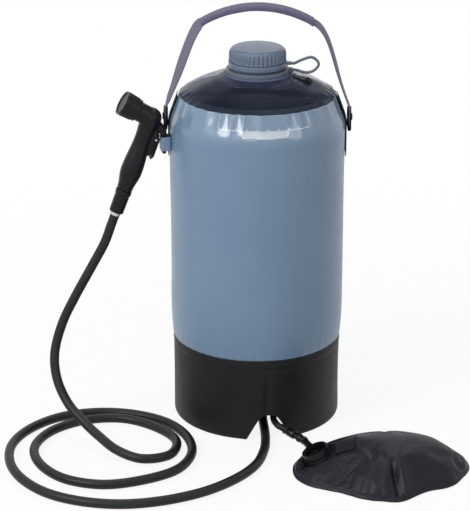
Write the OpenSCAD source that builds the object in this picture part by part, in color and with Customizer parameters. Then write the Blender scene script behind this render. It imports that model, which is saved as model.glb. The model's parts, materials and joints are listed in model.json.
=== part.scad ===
// Camp shower: a standing pressure tank of coated fabric with a clear top window,
// a screw filler cap on a tether, a webbing carry handle, a hand sprayer on a hose
// and a soft foot pump that feeds air into the tank through a short line.
// Millimetres. +Z is up, the origin lies on the tank's axis on the ground,
// and the front, where the hoses leave the base, faces -Y.

/* [Tank] */
// Outer radius of the fabric tank at its middle
tank_r = 111.5; // [104:0.5:125]
// Thickness of the tank fabric and of the clear window
film_t = 2; // [1.5:0.1:3]
// Height of the seam between the base and the tank
seam_z = 110; // [95:1:130]
// How far the tank draws in at the seam
seam_in = 2.7; // [0.5:0.1:4]
// Height over which the tank swells to its full radius
swell_h = 60; // [30:1:90]
// Height at which the shoulder starts
shoulder_z = 391; // [360:1:420]
// Slope of the shoulder away from upright, in degrees
shoulder_lean = 20; // [14:1:28]
// Radius of the bend into the shoulder
shoulder_bend = 45; // [25:1:60]
// Height of the leaning shoulder, from its bend to the clear window's edge
shoulder_rise = 24.1; // [16:0.1:30]
// Radius of the window dome's curve
dome_curve = 175; // [165:1:220]
// Slope of the dome at its edge, in degrees
dome_lean = 35; // [30:1:40]
// Width of the welded band round the window's edge
weld_w = 7; // [4:0.5:10]
// Thickness of welded bands, tapes and tabs
tape_t = 1.5; // [1:0.1:2.5]

/* [Base] */
// Wall of the moulded base skirt
skirt_t = 4; // [3:0.2:6]
// Rounding of the skirt's lower edge
skirt_round = 3; // [1:0.2:3.6]
// Width of the ledge that carries the tank floor
ledge_w = 13; // [8:1:20]
// Thickness of the ledge and of the tank floor
floor_t = 3.5; // [2.5:0.1:5]
// Direction of the hose notch, in degrees from the front towards the right
notch_turn = 9; // [0:1:20]
// Width of the hose notch at the ground
notch_w = 58; // [50:1:80]
// Width of the hose notch at its top, before rounding
notch_top_w = 22; // [18:1:40]
// Height of the hose notch
notch_h = 33; // [30:1:45]
// Rounding of the notch's top corners
notch_round = 9; // [4:0.5:10]

/* [Filler] */
// Radius of the neck's moulded base, where the window ends
neck_base_r = 42; // [38:0.5:48]
// Outer radius of the neck tube
neck_r = 30; // [26:0.5:31]
// Bore radius of the neck
neck_bore_r = 25; // [20:0.5:26]
// Height of the neck tube above its base
neck_h = 26; // [22:0.5:30]
// Outer radius of the tether collar and height of the collar
collar_r = 39.5; // [37:0.5:41]
// Height of the tether collar
collar_h = 5.5; // [4:0.1:6.5]
// Outer radius of the cap's ribbed side
cap_r = 35.8; // [35:0.1:40]
// Wall of the cap
cap_t = 1.6; // [1.2:0.1:1.9]
// Height of the cap above the neck's base
cap_top = 34.5; // [33:0.5:40]
// Rounding of the cap's top edge
cap_round = 8; // [4:0.5:9]
// Number of ribs round the cap
cap_ribs = 40; // [24:1:60]
// Depth of the ribs
rib_depth = 0.7; // [0.3:0.1:1]
// Outer radius of the swivel ring that ties the cap to its tether
swivel_r = 36.6; // [35.5:0.1:38]
// Height of the swivel ring
swivel_h = 7; // [5:0.2:8]
// Thickness of the tether strip
tether_t = 1.6; // [1:0.1:2.5]
// Width of the tether strip
tether_w = 5; // [3:0.2:7]

/* [Handle] */
// Width of the handle webbing
web_w = 25; // [18:0.5:32]
// Thickness of the handle webbing
web_t = 1.8; // [1.2:0.1:2.5]
// Height of the grip's middle above the cap
grip_rise = 49.5; // [40:0.5:70]
// Radius of the grip's arch
grip_curve = 134; // [120:1:180]
// Half angle of the grip's arch, in degrees
grip_half = 31; // [25:1:34]
// Wall of the grip sleeve round the webbing
grip_t = 1; // [0.6:0.1:2]
// Height of the handle's pivots above the start of the shoulder
pivot_up = 9; // [4:0.5:14]
// Height of each webbing tab above its pivot
tab_h = 14; // [13:0.5:18]
// Thickness of each leaf of the folded anchors
leaf_t = 1.3; // [0.8:0.1:2]
// Radius of the anchor rivets
rivet_r = 3; // [2:0.1:4]
// How far the anchor tapes run below the start of the shoulder
tape_down = 39; // [28:1:60]
// Width of the anchor tapes
tape_w = 28; // [20:1:34]

/* [Handset] */
// Direction in which the handset hangs, in degrees from the left towards the front
hang_turn = 12.5; // [12:0.5:20]
// Distance of the hook's finger from the tank's side
hook_out = 8.5; // [8:0.1:10]
// Distance of the elbow from the hook's finger
elbow_out = 16; // [14:0.5:20]
// Height of the elbow above the start of the shoulder
elbow_up = 15.5; // [8:0.5:28]
// Radius of the elbow
elbow_r = 13.5; // [13:0.1:15]
// Lean of the grip from upright, in degrees
grip_lean = 21; // [18:0.5:25]
// Rise of the spray head above level, in degrees
head_rise = 31.5; // [20:0.5:40]
// Radius of the handset's grip at its waist
waist_r = 11; // [10.5:0.1:11.2]
// Radius of the handset's grip at its swell
swell_r = 13.8; // [12.5:0.1:15]
// Radius of the handset's grip at its lower end
grip_end_r = 9.8; // [9:0.1:11]
// Length of the handset's grip below the elbow
grip_len = 99; // [95:0.5:110]
// Radius of the spray ring at its face
spray_r = 15.7; // [15.2:0.1:18]
// Radius of the spray ring at its back
spray_back_r = 14.4; // [14:0.1:15]
// Length of the spray ring
spray_len = 22; // [20:0.5:26]
// Number of fine ribs round the spray ring
spray_ribs = 36; // [20:1:48]
// Thickness of the hook's finger
hook_t = 5.8; // [5:0.1:6]
// Width of the hook
hook_w = 10; // [8:0.2:11]
// Length of the hook's finger below its root
hook_len = 27; // [20:0.5:28]
// Height of the webbing loop that holds the hook
loop_h = 18; // [12:0.5:20]
// Thickness of the webbing loop
loop_t = 1.4; // [1:0.1:1.6]
// Width of the trigger
trigger_w = 10; // [8:0.2:12]
// Radius of the trigger's pin
trigger_pin_r = 1.5; // [1:0.1:1.8]
// Length of the hose nut
nut_len = 30.5; // [28:0.5:34]
// Radius of the hose nut at its lower end
nut_r = 9.2; // [8.4:0.1:9.6]
// Length of the metal ferrule below the nut
ferrule_len = 4; // [3:0.2:5]

/* [Hoses] */
// Radius of the shower hose
hose_r = 6; // [5:0.1:6]
// Radius of the air hose
air_r = 4.2; // [3.6:0.1:4.4]
// Place of the water outlet under the tank floor
outlet_xy = [4, -12];
// Height at which the shower hose meets the water outlet
outlet_low_z = 80; // [78:1:84]
// Place of the air inlet under the tank floor
inlet_xy = [34, -34];
// Height at which the air hose meets the air inlet
inlet_low_z = 78; // [76:1:82]

/* [Pump] */
// Middle of the foot pump on the ground, from the foremost point of the base
pump_from_base = [157, -92];
// Half length of the pump
pump_a = 109; // [100:1:120]
// Half depth of the pump
pump_b = 75; // [68:1:80]
// Squareness of the pump's outline: 2 is an ellipse
pump_square = 2.25; // [2:0.05:2.8]
// Height of the pump's crown
pump_h = 46.5; // [38:0.5:52]
// Thickness of the pump's panels
panel_t = 2; // [1.5:0.1:2.5]
// Place of the air intake, from the pump's middle
intake_from_pump = [-81, 1];
// Slope of the intake towards the left, in degrees
intake_tilt = 25; // [18:1:30]
// Outer radius of the intake ring
intake_r = 16.5; // [15:0.1:18]
// Bore radius of the intake ring
intake_bore_r = 12.6; // [11:0.1:13]
// Height of the intake ring
intake_h = 10; // [8:0.5:13]

/* [Fits] */
// Running clearance between parts that turn or slide on each other
run_fit = 0.05; // [0.03:0.01:0.08]
// Gap between neighbours that don't bear on each other
gap = 0.3; // [0.2:0.05:0.4]

/* [Hidden] */

$fn = 64;
eps = 0.01;
far = 400;

// Heights and radii that follow from the tank
base_r = tank_r - seam_in - 0.8;
bend_top_z = shoulder_z + shoulder_bend * sin(shoulder_lean);
bend_top_r = tank_r - shoulder_bend * (1 - cos(shoulder_lean));
window_z = bend_top_z + shoulder_rise;
window_r = bend_top_r - shoulder_rise * tan(shoulder_lean);
dome_cr = window_r - dome_curve * sin(dome_lean);
dome_cz = window_z - dome_curve * cos(dome_lean);
neck_z = dome_z(neck_base_r, dome_curve);
neck_top = neck_z + neck_h;
floor_top_z = seam_z;
floor_low_z = seam_z - floor_t;
pivot_z = shoulder_z + pivot_up;
tape_low_z = shoulder_z - tape_down;
hook_x = tank_r + hook_out;
elbow_z = shoulder_z + elbow_up;
pump_xy = [0, -base_r] + pump_from_base;
intake_xy = pump_xy + intake_from_pump;

// Height of the dome at a radius from the axis, for a skin of the given curve radius
function dome_z(r, curve) = dome_cz + sqrt(pow(curve, 2) - pow(r - dome_cr, 2));
// Radius of the dome at a height, for a skin of the given curve radius
function dome_r(z, curve) = dome_cr + sqrt(pow(curve, 2) - pow(z - dome_cz, 2));
// Outer radius of the fabric tank at a height
function tank_rad(z) =
    z < seam_z + swell_h ? tank_r - seam_in * pow(1 - (z - seam_z) / swell_h, 2)
    : z < shoulder_z ? tank_r
    : z < bend_top_z ? tank_r - shoulder_bend + sqrt(pow(shoulder_bend, 2) - pow(z - shoulder_z, 2))
    : bend_top_r - (z - bend_top_z) * tan(shoulder_lean);
// Heights at which the tank's outline has a point
swell_steps = 8;
bend_steps = 6;
tank_heights = concat(
    [for (i = [0:swell_steps]) seam_z + swell_h * i / swell_steps],
    [for (i = [0:bend_steps]) shoulder_z + (bend_top_z - shoulder_z) * i / bend_steps],
    [window_z]);
// Points along the dome between two radii, at an offset from its outer skin
dome_steps = 10;
function dome_line(r0, r1, out) =
    [for (i = [0:dome_steps]) let (r = r0 + (r1 - r0) * i / dome_steps) [r, dome_z(r, dome_curve + out)]];
function reversed(list) = [for (i = [len(list) - 1:-1:0]) list[i]];

function unit(v) = v / norm(v);
// Arc that rounds corner b of the outline a, b, c
function corner(a, b, c, r, n) =
    r <= 0 ? [b]
    : let (u = unit(a - b), v = unit(c - b), half = acos(u * v) / 2,
           o = b + unit(u + v) * r / sin(half), s = b + u * r / tan(half) - o,
           e = b + v * r / tan(half) - o, sweep = 180 - 2 * half)
      [for (k = [0:n]) o + (s * sin(sweep * (1 - k / n)) + e * sin(sweep * k / n)) / sin(sweep)];
// Closed outline with each corner rounded by its own radius
function rounded(p, r, n = 6) =
    [for (i = [0:len(p) - 1])
        each corner(p[(i + len(p) - 1) % len(p)], p[i], p[(i + 1) % len(p)], r[i], n)];
// Outline of a strip of even thickness along a flat path
function strip(path, t) =
    let (last = len(path) - 1,
         side = [for (i = [0:last]) let (d = unit(path[min(i + 1, last)] - path[max(i - 1, 0)]))
                 [-d[1], d[0]] * t / 2])
    concat([for (i = [0:last]) path[i] + side[i]], [for (i = [last:-1:0]) path[i] - side[i]]);
function bezier(p, t) =
    pow(1 - t, 3) * p[0] + 3 * t * pow(1 - t, 2) * p[1] + 3 * t * t * (1 - t) * p[2] + pow(t, 3) * p[3];
// Smooth curve through every point, with n steps from each to the next
function between(a, b, c, d, t) =
    (2 * b + (c - a) * t + (2 * a - 5 * b + 4 * c - d) * t * t + (3 * b - a - 3 * c + d) * pow(t, 3)) / 2;
function spline(p, n) =
    let (last = len(p) - 1)
    concat([for (i = [0:last - 1]) for (k = [0:n - 1])
            between(p[max(i - 1, 0)], p[i], p[i + 1], p[min(i + 2, last)], k / n)], [p[last]]);
// Side direction at each point of a tube's path, carried along without twist
function headings(p) =
    let (last = len(p) - 1) [for (i = [0:last]) unit(p[min(i + 1, last)] - p[max(i - 1, 0)])];
function carried(h, side, i = 0) =
    i >= len(h) ? [] : let (s = unit(side - (side * h[i]) * h[i])) concat([s], carried(h, s, i + 1));

// Solid round tube along a path of points
module tube(path, r, sides, first_side) {
    h = headings(path);
    u = carried(h, first_side);
    count = len(path);
    points = [for (i = [0:count - 1]) let (v = cross(h[i], u[i])) for (k = [0:sides - 1])
        path[i] + r * (cos(360 * k / sides) * u[i] + sin(360 * k / sides) * v)];
    skin = [for (i = [0:count - 2]) for (k = [0:sides - 1])
        let (a = i * sides + k, b = i * sides + (k + 1) % sides)
        each [[a, b + sides, b], [a, a + sides, b + sides]]];
    first_cap = [for (k = [1:sides - 2]) [0, k, k + 1]];
    top = (count - 1) * sides;
    last_cap = [for (k = [1:sides - 2]) [top, top + k + 1, top + k]];
    polyhedron(points, concat(skin, first_cap, last_cap), convexity = 10);
}

// Tank of coated fabric: slightly swollen wall, bent shoulder
module tank_wall() {
    color([0.46, 0.56, 0.67])
    rotate_extrude()
        polygon(concat([for (z = tank_heights) [tank_rad(z), z]],
                       [for (z = reversed(tank_heights)) [tank_rad(z) - film_t, z]]));
}

// Clear dome that ends at the neck's base
module tank_window() {
    inner = dome_curve - film_t;
    inner_edge = dome_r(window_z, inner);
    color([0.75, 0.8, 0.85, 0.4])
    rotate_extrude()
        polygon(concat(dome_line(window_r, neck_base_r, 0),
                       reversed([for (p = dome_line(inner_edge, neck_base_r, -film_t)) p])));
}

// Welded band over the window's edge
weld_t = 0.8;
module window_weld() {
    color([0.4, 0.48, 0.58])
    rotate_extrude()
        polygon(concat(dome_line(window_r, window_r - weld_w, run_fit),
                       reversed(dome_line(window_r, window_r - weld_w, run_fit + weld_t))));
}

// Floor disc of the tank with the two port holes
port_r = 7;
air_port_r = 5;
module tank_floor() {
    color([0.15, 0.16, 0.17])
    difference() {
        translate([0, 0, floor_low_z])
            cylinder(r = base_r - skirt_t - run_fit, h = floor_t);
        translate([outlet_xy[0], outlet_xy[1], floor_low_z - 1])
            cylinder(r = port_r + run_fit, h = floor_t + 2);
        translate([inlet_xy[0], inlet_xy[1], floor_low_z - 1])
            cylinder(r = air_port_r + run_fit, h = floor_t + 2);
    }
}

// Moulded skirt that the tank stands in, hollow below, with a notch for the hoses
ledge_z = floor_low_z - floor_t;
module base_skirt() {
    inner = base_r - skirt_t;
    outline = rounded([[base_r, 0], [base_r, seam_z], [inner, seam_z], [inner, floor_low_z],
                       [inner - ledge_w, floor_low_z], [inner - ledge_w, ledge_z],
                       [inner, ledge_z - ledge_w / 2], [inner, 0]],
                      [skirt_round, 0, 0, 0, 0, 0, 0, 0]);
    notch = rounded([[-notch_w / 2, -1], [-notch_top_w / 2, notch_h], [notch_top_w / 2, notch_h],
                     [notch_w / 2, -1]], [0, notch_round, notch_round, 0]);
    color([0.13, 0.13, 0.14])
    difference() {
        rotate_extrude() polygon(outline);
        rotate([0, 0, notch_turn])
        rotate([90, 0, 0])
        translate([0, 0, inner - ledge_w])
            linear_extrude(height = ledge_w + skirt_t * 4) polygon(notch);
    }
}

// Moulded filler neck: welding flange under the dome, base ring, collar seat and tube
flange_r = neck_base_r + 8;
flange_t = 3;
base_low = 5;
base_up = 1;
seat_r = 33;
module filler_neck() {
    flange_top = dome_z(flange_r, dome_curve - film_t) - gap;
    color([0.42, 0.46, 0.53])
    rotate_extrude()
        polygon([[neck_bore_r, flange_top - flange_t], [flange_r, flange_top - flange_t],
                 [flange_r, flange_top], [neck_base_r - run_fit, flange_top],
                 [neck_base_r - run_fit, neck_z + base_up], [seat_r, neck_z + base_up],
                 [seat_r, neck_z + base_up + collar_h + base_up], [neck_r, neck_z + base_up + collar_h + base_up],
                 [neck_r, neck_top], [neck_bore_r, neck_top]]);
}

// Collar on the neck that holds the tether's lower end
lug_end = 44;
lug_w = 7;
collar_z = neck_z + base_up;
module tether_collar() {
    color([0.4, 0.42, 0.46])
    translate([0, 0, collar_z])
    difference() {
        union() {
            cylinder(r = collar_r, h = collar_h);
            translate([seat_r + 1, -lug_w / 2, 0]) cube([lug_end - seat_r - 1, lug_w, collar_h]);
        }
        translate([0, 0, -1]) cylinder(r = seat_r + run_fit, h = collar_h + 2);
    }
}

// Swivel ring under the cap: the cap turns in it, and the tether holds it
cap_low_z = neck_z + 9;
cap_skirt_r = cap_r - 2.8;
swivel_lug_end = 42;
module cap_swivel_ring() {
    color([0.44, 0.5, 0.58])
    translate([0, 0, cap_low_z])
    difference() {
        union() {
            cylinder(r = swivel_r, h = swivel_h);
            translate([cap_skirt_r + 1, -lug_w / 2, swivel_h * 0.25])
                cube([swivel_lug_end - cap_skirt_r - 1, lug_w, swivel_h * 0.5]);
        }
        translate([0, 0, -1]) cylinder(r = cap_skirt_r + run_fit, h = swivel_h + 2);
    }
}

// Tether strip from the collar's lug round to the swivel ring's lug
tether_low_z = collar_z + collar_h / 2;
tether_high_z = cap_low_z + swivel_h / 2;
tether_path = [
    [lug_end, tether_low_z], [lug_end + 4, tether_low_z], [61, neck_z + 0.4], [71, neck_z + 3.4],
    [76.5, neck_z + 12], [68, neck_z + 20], [56, neck_z + 17],
    [swivel_lug_end + gap + 4, tether_high_z], [swivel_lug_end + gap, tether_high_z]];
module cap_tether() {
    color([0.36, 0.37, 0.38])
    rotate([90, 0, 0])
    translate([0, 0, -tether_w / 2])
        linear_extrude(height = tether_w) polygon(strip(spline(tether_path, 5), tether_t));
}

// Screw cap with a ribbed side and a rounded top
rib_low_z = cap_low_z + swivel_h + gap;
cap_top_z = neck_z + cap_top;
rib_top_z = cap_top_z - cap_round;
gasket_t = 2;
cap_inner_z = neck_top + gap + gasket_t;
crown_drop = 0.7;
module filler_cap() {
    inner_r = cap_skirt_r - cap_t;
    top_r = cap_r - cap_round;
    rib_points = 4 * cap_ribs;
    ribbed = [for (i = [0:rib_points - 1]) let (a = 360 * i / rib_points)
        (cap_r - rib_depth / 2 + rib_depth / 2 * cos(cap_ribs * a)) * [cos(a), sin(a)]];
    crown = concat([[0, rib_top_z - eps], [cap_r - rib_depth, rib_top_z - eps]],
        corner([cap_r - rib_depth, rib_top_z], [cap_r - rib_depth, cap_top_z - crown_drop],
               [0, cap_top_z - crown_drop], cap_round - 1, 8),
        [[0, cap_top_z]]);
    color([0.43, 0.5, 0.58])
    difference() {
        union() {
            translate([0, 0, cap_low_z + gap]) cylinder(r = cap_skirt_r, h = swivel_h + 2 * gap);
            translate([0, 0, rib_low_z]) linear_extrude(height = rib_top_z - rib_low_z) polygon(ribbed);
            rotate_extrude() polygon(crown);
        }
        translate([0, 0, cap_low_z - 1]) cylinder(r = inner_r, h = cap_inner_z - cap_low_z + 1);
    }
}

// Sealing ring in the cap's ceiling, over the neck's rim
module cap_gasket() {
    color([0.2, 0.2, 0.2])
    translate([0, 0, neck_top + gap])
    difference() {
        cylinder(r = neck_r, h = gasket_t);
        translate([0, 0, -1]) cylinder(r = neck_bore_r - 1, h = gasket_t + 2);
    }
}

// Small welded tab on the dome beside the neck
tab_from_r = neck_base_r + 4;
tab_to_r = neck_base_r + 26;
tab_turn = -14;
tab_spread = 12;
module dome_tab() {
    color([0.08, 0.08, 0.09])
    rotate([0, 0, tab_turn - tab_spread / 2])
    rotate_extrude(angle = tab_spread)
        polygon(concat(dome_line(tab_from_r, tab_to_r, run_fit),
                       reversed(dome_line(tab_from_r, tab_to_r, run_fit + tape_t))));
}

// Tape welded up the tank's side, under the handle's anchor
module anchor_tape(side) {
    half = asin(tape_w / 2 / tank_r);
    heights = concat([tape_low_z], [for (z = tank_heights) if (z > tape_low_z && z < window_z - 1) z],
                     [window_z - 1]);
    color([0.1, 0.1, 0.11])
    rotate([0, 0, side > 0 ? -half : 180 - half])
    rotate_extrude(angle = 2 * half)
        polygon(concat([for (z = heights) [tank_rad(z) + run_fit, z]],
                       [for (z = reversed(heights)) [tank_rad(z) + run_fit + tape_t, z]]));
}
module anchor_tape_left() { anchor_tape(-1); }
module anchor_tape_right() { anchor_tape(1); }

// Folded anchor: two leaves with the webbing's tab between them, on the tape
leaf_x = tank_r + tape_t + 3 * run_fit;
web_x = leaf_x + leaf_t + gap;
outer_leaf_x = web_x + web_t + gap;
fold_low = 16;
fold_w = web_w + 2;
module anchor_fold(side) {
    depth = outer_leaf_x + leaf_t - leaf_x;
    slot_low = -web_w / 2 - gap;
    outline = rounded([[0, -fold_low], [depth, -fold_low], [depth, fold_w], [depth - leaf_t, fold_w],
                       [depth - leaf_t, slot_low], [leaf_t, slot_low], [leaf_t, fold_w], [0, fold_w]],
                      [0, leaf_t * 2, 0, 0, 0, 0, 0, 0]);
    color([0.07, 0.07, 0.08])
    mirror([side > 0 ? 0 : 1, 0, 0])
    translate([leaf_x, 0, pivot_z])
    difference() {
        intersection() {
            translate([0, fold_w / 2, 0]) rotate([90, 0, 0]) linear_extrude(height = fold_w) polygon(outline);
            union() {
                translate([-1, 0, 0]) rotate([0, 90, 0]) cylinder(r = fold_w / 2, h = depth + 2);
                translate([-1, -fold_w, -fold_w]) cube([depth + 2, 2 * fold_w, fold_w]);
            }
        }
        translate([-1, 0, 0]) rotate([0, 90, 0]) cylinder(r = rivet_r + run_fit, h = depth + 2);
    }
}
module anchor_fold_left() { anchor_fold(-1); }
module anchor_fold_right() { anchor_fold(1); }

// Rivet through the anchor and the webbing's tab, on which the handle swings
rivet_head_r = 5;
rivet_head_t = 1.6;
module anchor_rivet(side) {
    color([0.12, 0.12, 0.13])
    mirror([side > 0 ? 0 : 1, 0, 0])
    translate([leaf_x, 0, pivot_z])
    rotate([0, 90, 0]) {
        cylinder(r = rivet_r, h = outer_leaf_x + leaf_t - leaf_x);
        translate([0, 0, outer_leaf_x + leaf_t - leaf_x])
            cylinder(r1 = rivet_head_r, r2 = rivet_head_r - 1, h = rivet_head_t);
    }
}
module anchor_rivet_left() { anchor_rivet(-1); }
module anchor_rivet_right() { anchor_rivet(1); }

// Handle's path, seen from the front: an arched grip and a leaning strap on each side
arch_steps = 14;
strap_steps = 10;
grip_z = cap_top_z + grip_rise;
arch_end = [grip_curve * sin(grip_half), grip_z - grip_curve * (1 - cos(grip_half))];
strap_end = [web_x + web_t / 2, pivot_z + tab_h];
strap_bend = 13;
strap_run = 60;
strap_curve = [arch_end, arch_end + strap_bend * [cos(grip_half), -sin(grip_half)],
               strap_end + strap_run * unit([arch_end[0] - strap_end[0], (arch_end[1] - strap_end[1]) * 1.05]),
               strap_end];
right_strap = [for (i = [1:strap_steps]) bezier(strap_curve, i / strap_steps)];
function mirrored(path) = [for (p = path) [-p[0], p[1]]];
arch = [for (i = [0:arch_steps]) let (a = grip_half * (1 - 2 * i / arch_steps))
        [-grip_curve * sin(a), grip_z - grip_curve * (1 - cos(a))]];
handle_path = concat(reversed(mirrored(right_strap)), arch, right_strap);
module handle_strip(path, t, w) {
    rotate([90, 0, 0])
    translate([0, 0, -w / 2])
        linear_extrude(height = w) polygon(strip(path, t));
}

// Webbing from one anchor over the grip to the other, with a round tab at each end
module handle_webbing() {
    color([0.5, 0.48, 0.6])
    difference() {
        union() {
            handle_strip(handle_path, web_t, web_w);
            for (side = [-1, 1])
                translate([side * strap_end[0] - web_t / 2, 0, pivot_z]) {
                    rotate([0, 90, 0]) cylinder(r = web_w / 2, h = web_t);
                    translate([0, -web_w / 2, 0]) cube([web_t, web_w, tab_h]);
                }
        }
        for (side = [-1, 1])
            translate([side * strap_end[0] - web_t, 0, pivot_z])
                rotate([0, 90, 0]) cylinder(r = rivet_r + run_fit, h = 2 * web_t);
    }
}

// Padded sleeve round the webbing at the top
module handle_grip() {
    color([0.41, 0.39, 0.51])
    difference() {
        handle_strip(arch, web_t + 2 * (grip_t + run_fit), web_w + 2 * grip_t);
        handle_strip(concat([arch[0] * 2 - arch[1]], arch, [arch[arch_steps] * 2 - arch[arch_steps - 1]]),
                     web_t + 2 * run_fit, web_w + 2 * run_fit);
    }
}

// Places of the handset: x runs away from the tank to the left, z stays upright
module at_hook() rotate([0, 0, hang_turn]) translate([-hook_x, 0, 0]) children();
module at_elbow() at_hook() translate([-elbow_out, 0, elbow_z]) children();
// Grip's own frame: -z runs down the grip, +x is its back, towards the tank
module along_grip() at_elbow() rotate([0, grip_lean, 0]) children();
// Head's own frame: +z runs out through the spray face
module along_head() at_elbow() rotate([0, head_rise - 90, 0]) children();

// Webbing loop on the tank's side, open at the top for the hook's finger
hook_root_z = elbow_z - 23;
loop_z = hook_root_z - 1.5 - loop_h;
loop_clear = 2;
module handset_loop() {
    inner_out = hook_t / 2 + 0.6;
    inner_half = hook_w / 2 + loop_clear;
    outer = rounded([[hook_x, -inner_half - loop_t], [-inner_out - loop_t, -inner_half - loop_t],
                     [-inner_out - loop_t, inner_half + loop_t], [hook_x, inner_half + loop_t]],
                    [0, loop_clear + loop_t, loop_clear + loop_t, 0]);
    inner = rounded([[hook_x, -inner_half], [-inner_out, -inner_half],
                     [-inner_out, inner_half], [hook_x, inner_half]],
                    [0, loop_clear, loop_clear, 0]);
    color([0.55, 0.62, 0.68])
    difference() {
        at_hook() translate([0, 0, loop_z]) linear_extrude(height = loop_h)
            difference() {
                polygon(outer);
                polygon(inner);
            }
        cylinder(r = tank_r + run_fit, h = far);
    }
}

// Handset's grip radius at a distance below the elbow
waist_at = 28;
swell_at = 72;
function eased(a, b, f) = a + (b - a) * (1 - cos(180 * f)) / 2;
function grip_rad(t) =
    t < waist_at ? eased(elbow_r - 0.9, waist_r, t / waist_at)
    : t < swell_at ? eased(waist_r, swell_r, (t - waist_at) / (swell_at - waist_at))
    : eased(swell_r, grip_end_r, (t - swell_at) / (grip_len - swell_at));
grip_steps = 18;
spigot_r = 6.5;
spigot_len = 13;
head_tube_r = elbow_r - 1;
head_back = 20;
nozzle_r = 11;
nozzle_len = 14;

// Trigger's pivot and valve, in the grip's own frame: x from the axis, t below the elbow
pivot_x = 14.5;
pivot_t = 24;
cheek_t = 2.2;
cheek_out = 2.6;
cheek_down = 24;
lever_in = 15.8;
lever_out = 19.8;
lever_low = 50;
valve_t = 37;
stem_r = 2;
stem_in = -2;
stem_head_r = 3.5;
stem_head_t = 1.5;
chamber_r = 3.5;
chamber = [-4, 4];
spring_pocket_r = 4.2;
spring_seat = 6;
module at_pivot() along_grip() translate([pivot_x, 0, -pivot_t]) children();
module at_valve() along_grip() translate([0, 0, -valve_t]) rotate([0, 90, 0]) children();

// Handset's moulded body: elbow, grip, head tube, hook and the trigger's cheeks
module handset_body() {
    cheek_half = trigger_w / 2 + gap;
    cheek = rounded([[4 - pivot_x, -3.6], [0, -3.6], [cheek_out, 0], [cheek_out, cheek_down - 5],
                     [4 - pivot_x, cheek_down + 3]], [0, 0, 1, 3, 0]);
    hook_half = hook_t / 2;
    hook_low = hook_root_z - hook_len;
    hook_top = hook_root_z + 15;
    hook = rounded([[hook_half, hook_top], [hook_half, hook_low], [-hook_half, hook_low],
                    [-hook_half, hook_root_z], [-elbow_out + 2, hook_root_z + 6],
                    [-elbow_out + 2, hook_top + 7]],
                   [6, hook_half - 0.1, hook_half - 0.1, 2, 0, 0]);
    color([0.11, 0.11, 0.12])
    difference() {
        union() {
            along_grip() rotate_extrude()
                polygon(concat([[0, 0]],
                    [for (i = [0:grip_steps]) let (t = grip_len * i / grip_steps) [grip_rad(t), -t]],
                    [[spigot_r, -grip_len], [spigot_r, -grip_len - spigot_len], [0, -grip_len - spigot_len]]));
            at_elbow() sphere(r = elbow_r);
            along_head() cylinder(r = head_tube_r, h = head_back - gap);
            along_head() cylinder(r = nozzle_r, h = head_back + nozzle_len);
            at_hook() translate([0, hook_w / 2, 0]) rotate([90, 0, 0])
                linear_extrude(height = hook_w) polygon(hook);
            for (side = [-1, 1])
                at_pivot() translate([0, side > 0 ? cheek_half : -cheek_half - cheek_t, 0])
                    rotate([-90, 0, 0]) {
                        cylinder(r = 3.6, h = cheek_t);
                        linear_extrude(height = cheek_t) polygon(cheek);
                    }
        }
        at_pivot() translate([0, -far / 2, 0]) rotate([-90, 0, 0]) cylinder(r = trigger_pin_r + run_fit, h = far);
        at_valve() translate([0, 0, stem_in - 3]) cylinder(r = stem_r + run_fit, h = far);
        at_valve() translate([0, 0, chamber[0]]) cylinder(r = chamber_r, h = chamber[1] - chamber[0]);
        at_valve() translate([0, 0, spring_seat]) cylinder(r = spring_pocket_r, h = far);
    }
}

// Turning ring of the spray head, with fine grip ribs
face_t = 2.5;
face_in = 1;
face_r = 13.3;
spray_rib_r = 0.5;
module spray_ring() {
    face_back = spray_len - face_in - face_t;
    color([0.1, 0.1, 0.11])
    along_head() translate([0, 0, head_back])
    difference() {
        union() {
            cylinder(r1 = spray_back_r, r2 = spray_r, h = spray_len);
            for (i = [0:spray_ribs - 1])
                rotate([0, 0, 360 * i / spray_ribs])
                translate([spray_back_r + 0.2, 0, 4])
                rotate([0, atan((spray_r - spray_back_r) / spray_len), 0])
                    cylinder(r = spray_rib_r, h = spray_len - 7, $fn = 6);
        }
        translate([0, 0, -1]) cylinder(r = nozzle_r + run_fit, h = nozzle_len + 1 + gap);
        translate([0, 0, nozzle_len]) cylinder(r = face_r - 1.2, h = spray_len);
        translate([0, 0, face_back]) cylinder(r = face_r + run_fit, h = spray_len);
    }
}

// Nozzle plate in the ring, with rings of spray holes
spray_hole_r = 0.6;
spray_rows = [[0, 1], [4, 6], [7.6, 12], [11, 18]];
module spray_face() {
    color([0.16, 0.16, 0.17])
    along_head() translate([0, 0, head_back + spray_len - face_in - face_t])
    difference() {
        cylinder(r = face_r, h = face_t);
        for (row = spray_rows) for (i = [0:row[1] - 1])
            rotate([0, 0, 360 * i / row[1]]) translate([row[0], 0, -1])
                cylinder(r = spray_hole_r, h = face_t + 2, $fn = 16);
    }
}

// Thumb lever on the handset's back
module trigger() {
    outline = rounded([[0, 3], [lever_out - pivot_x, 3], [lever_out - pivot_x, pivot_t - lever_low + 4],
                       [lever_out - pivot_x - 2.4, pivot_t - lever_low], [lever_in - pivot_x, pivot_t - lever_low],
                       [lever_in - pivot_x, -6], [-1, -3]], [0, 2, 3, 1, 0.6, 2, 0]);
    color([0.09, 0.09, 0.1])
    at_pivot()
    difference() {
        translate([0, trigger_w / 2, 0]) rotate([90, 0, 0]) union() {
            cylinder(r = 3.1, h = trigger_w);
            linear_extrude(height = trigger_w) polygon(outline);
        }
        translate([0, -trigger_w, 0]) rotate([-90, 0, 0]) cylinder(r = trigger_pin_r + run_fit, h = 2 * trigger_w);
    }
}

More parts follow.
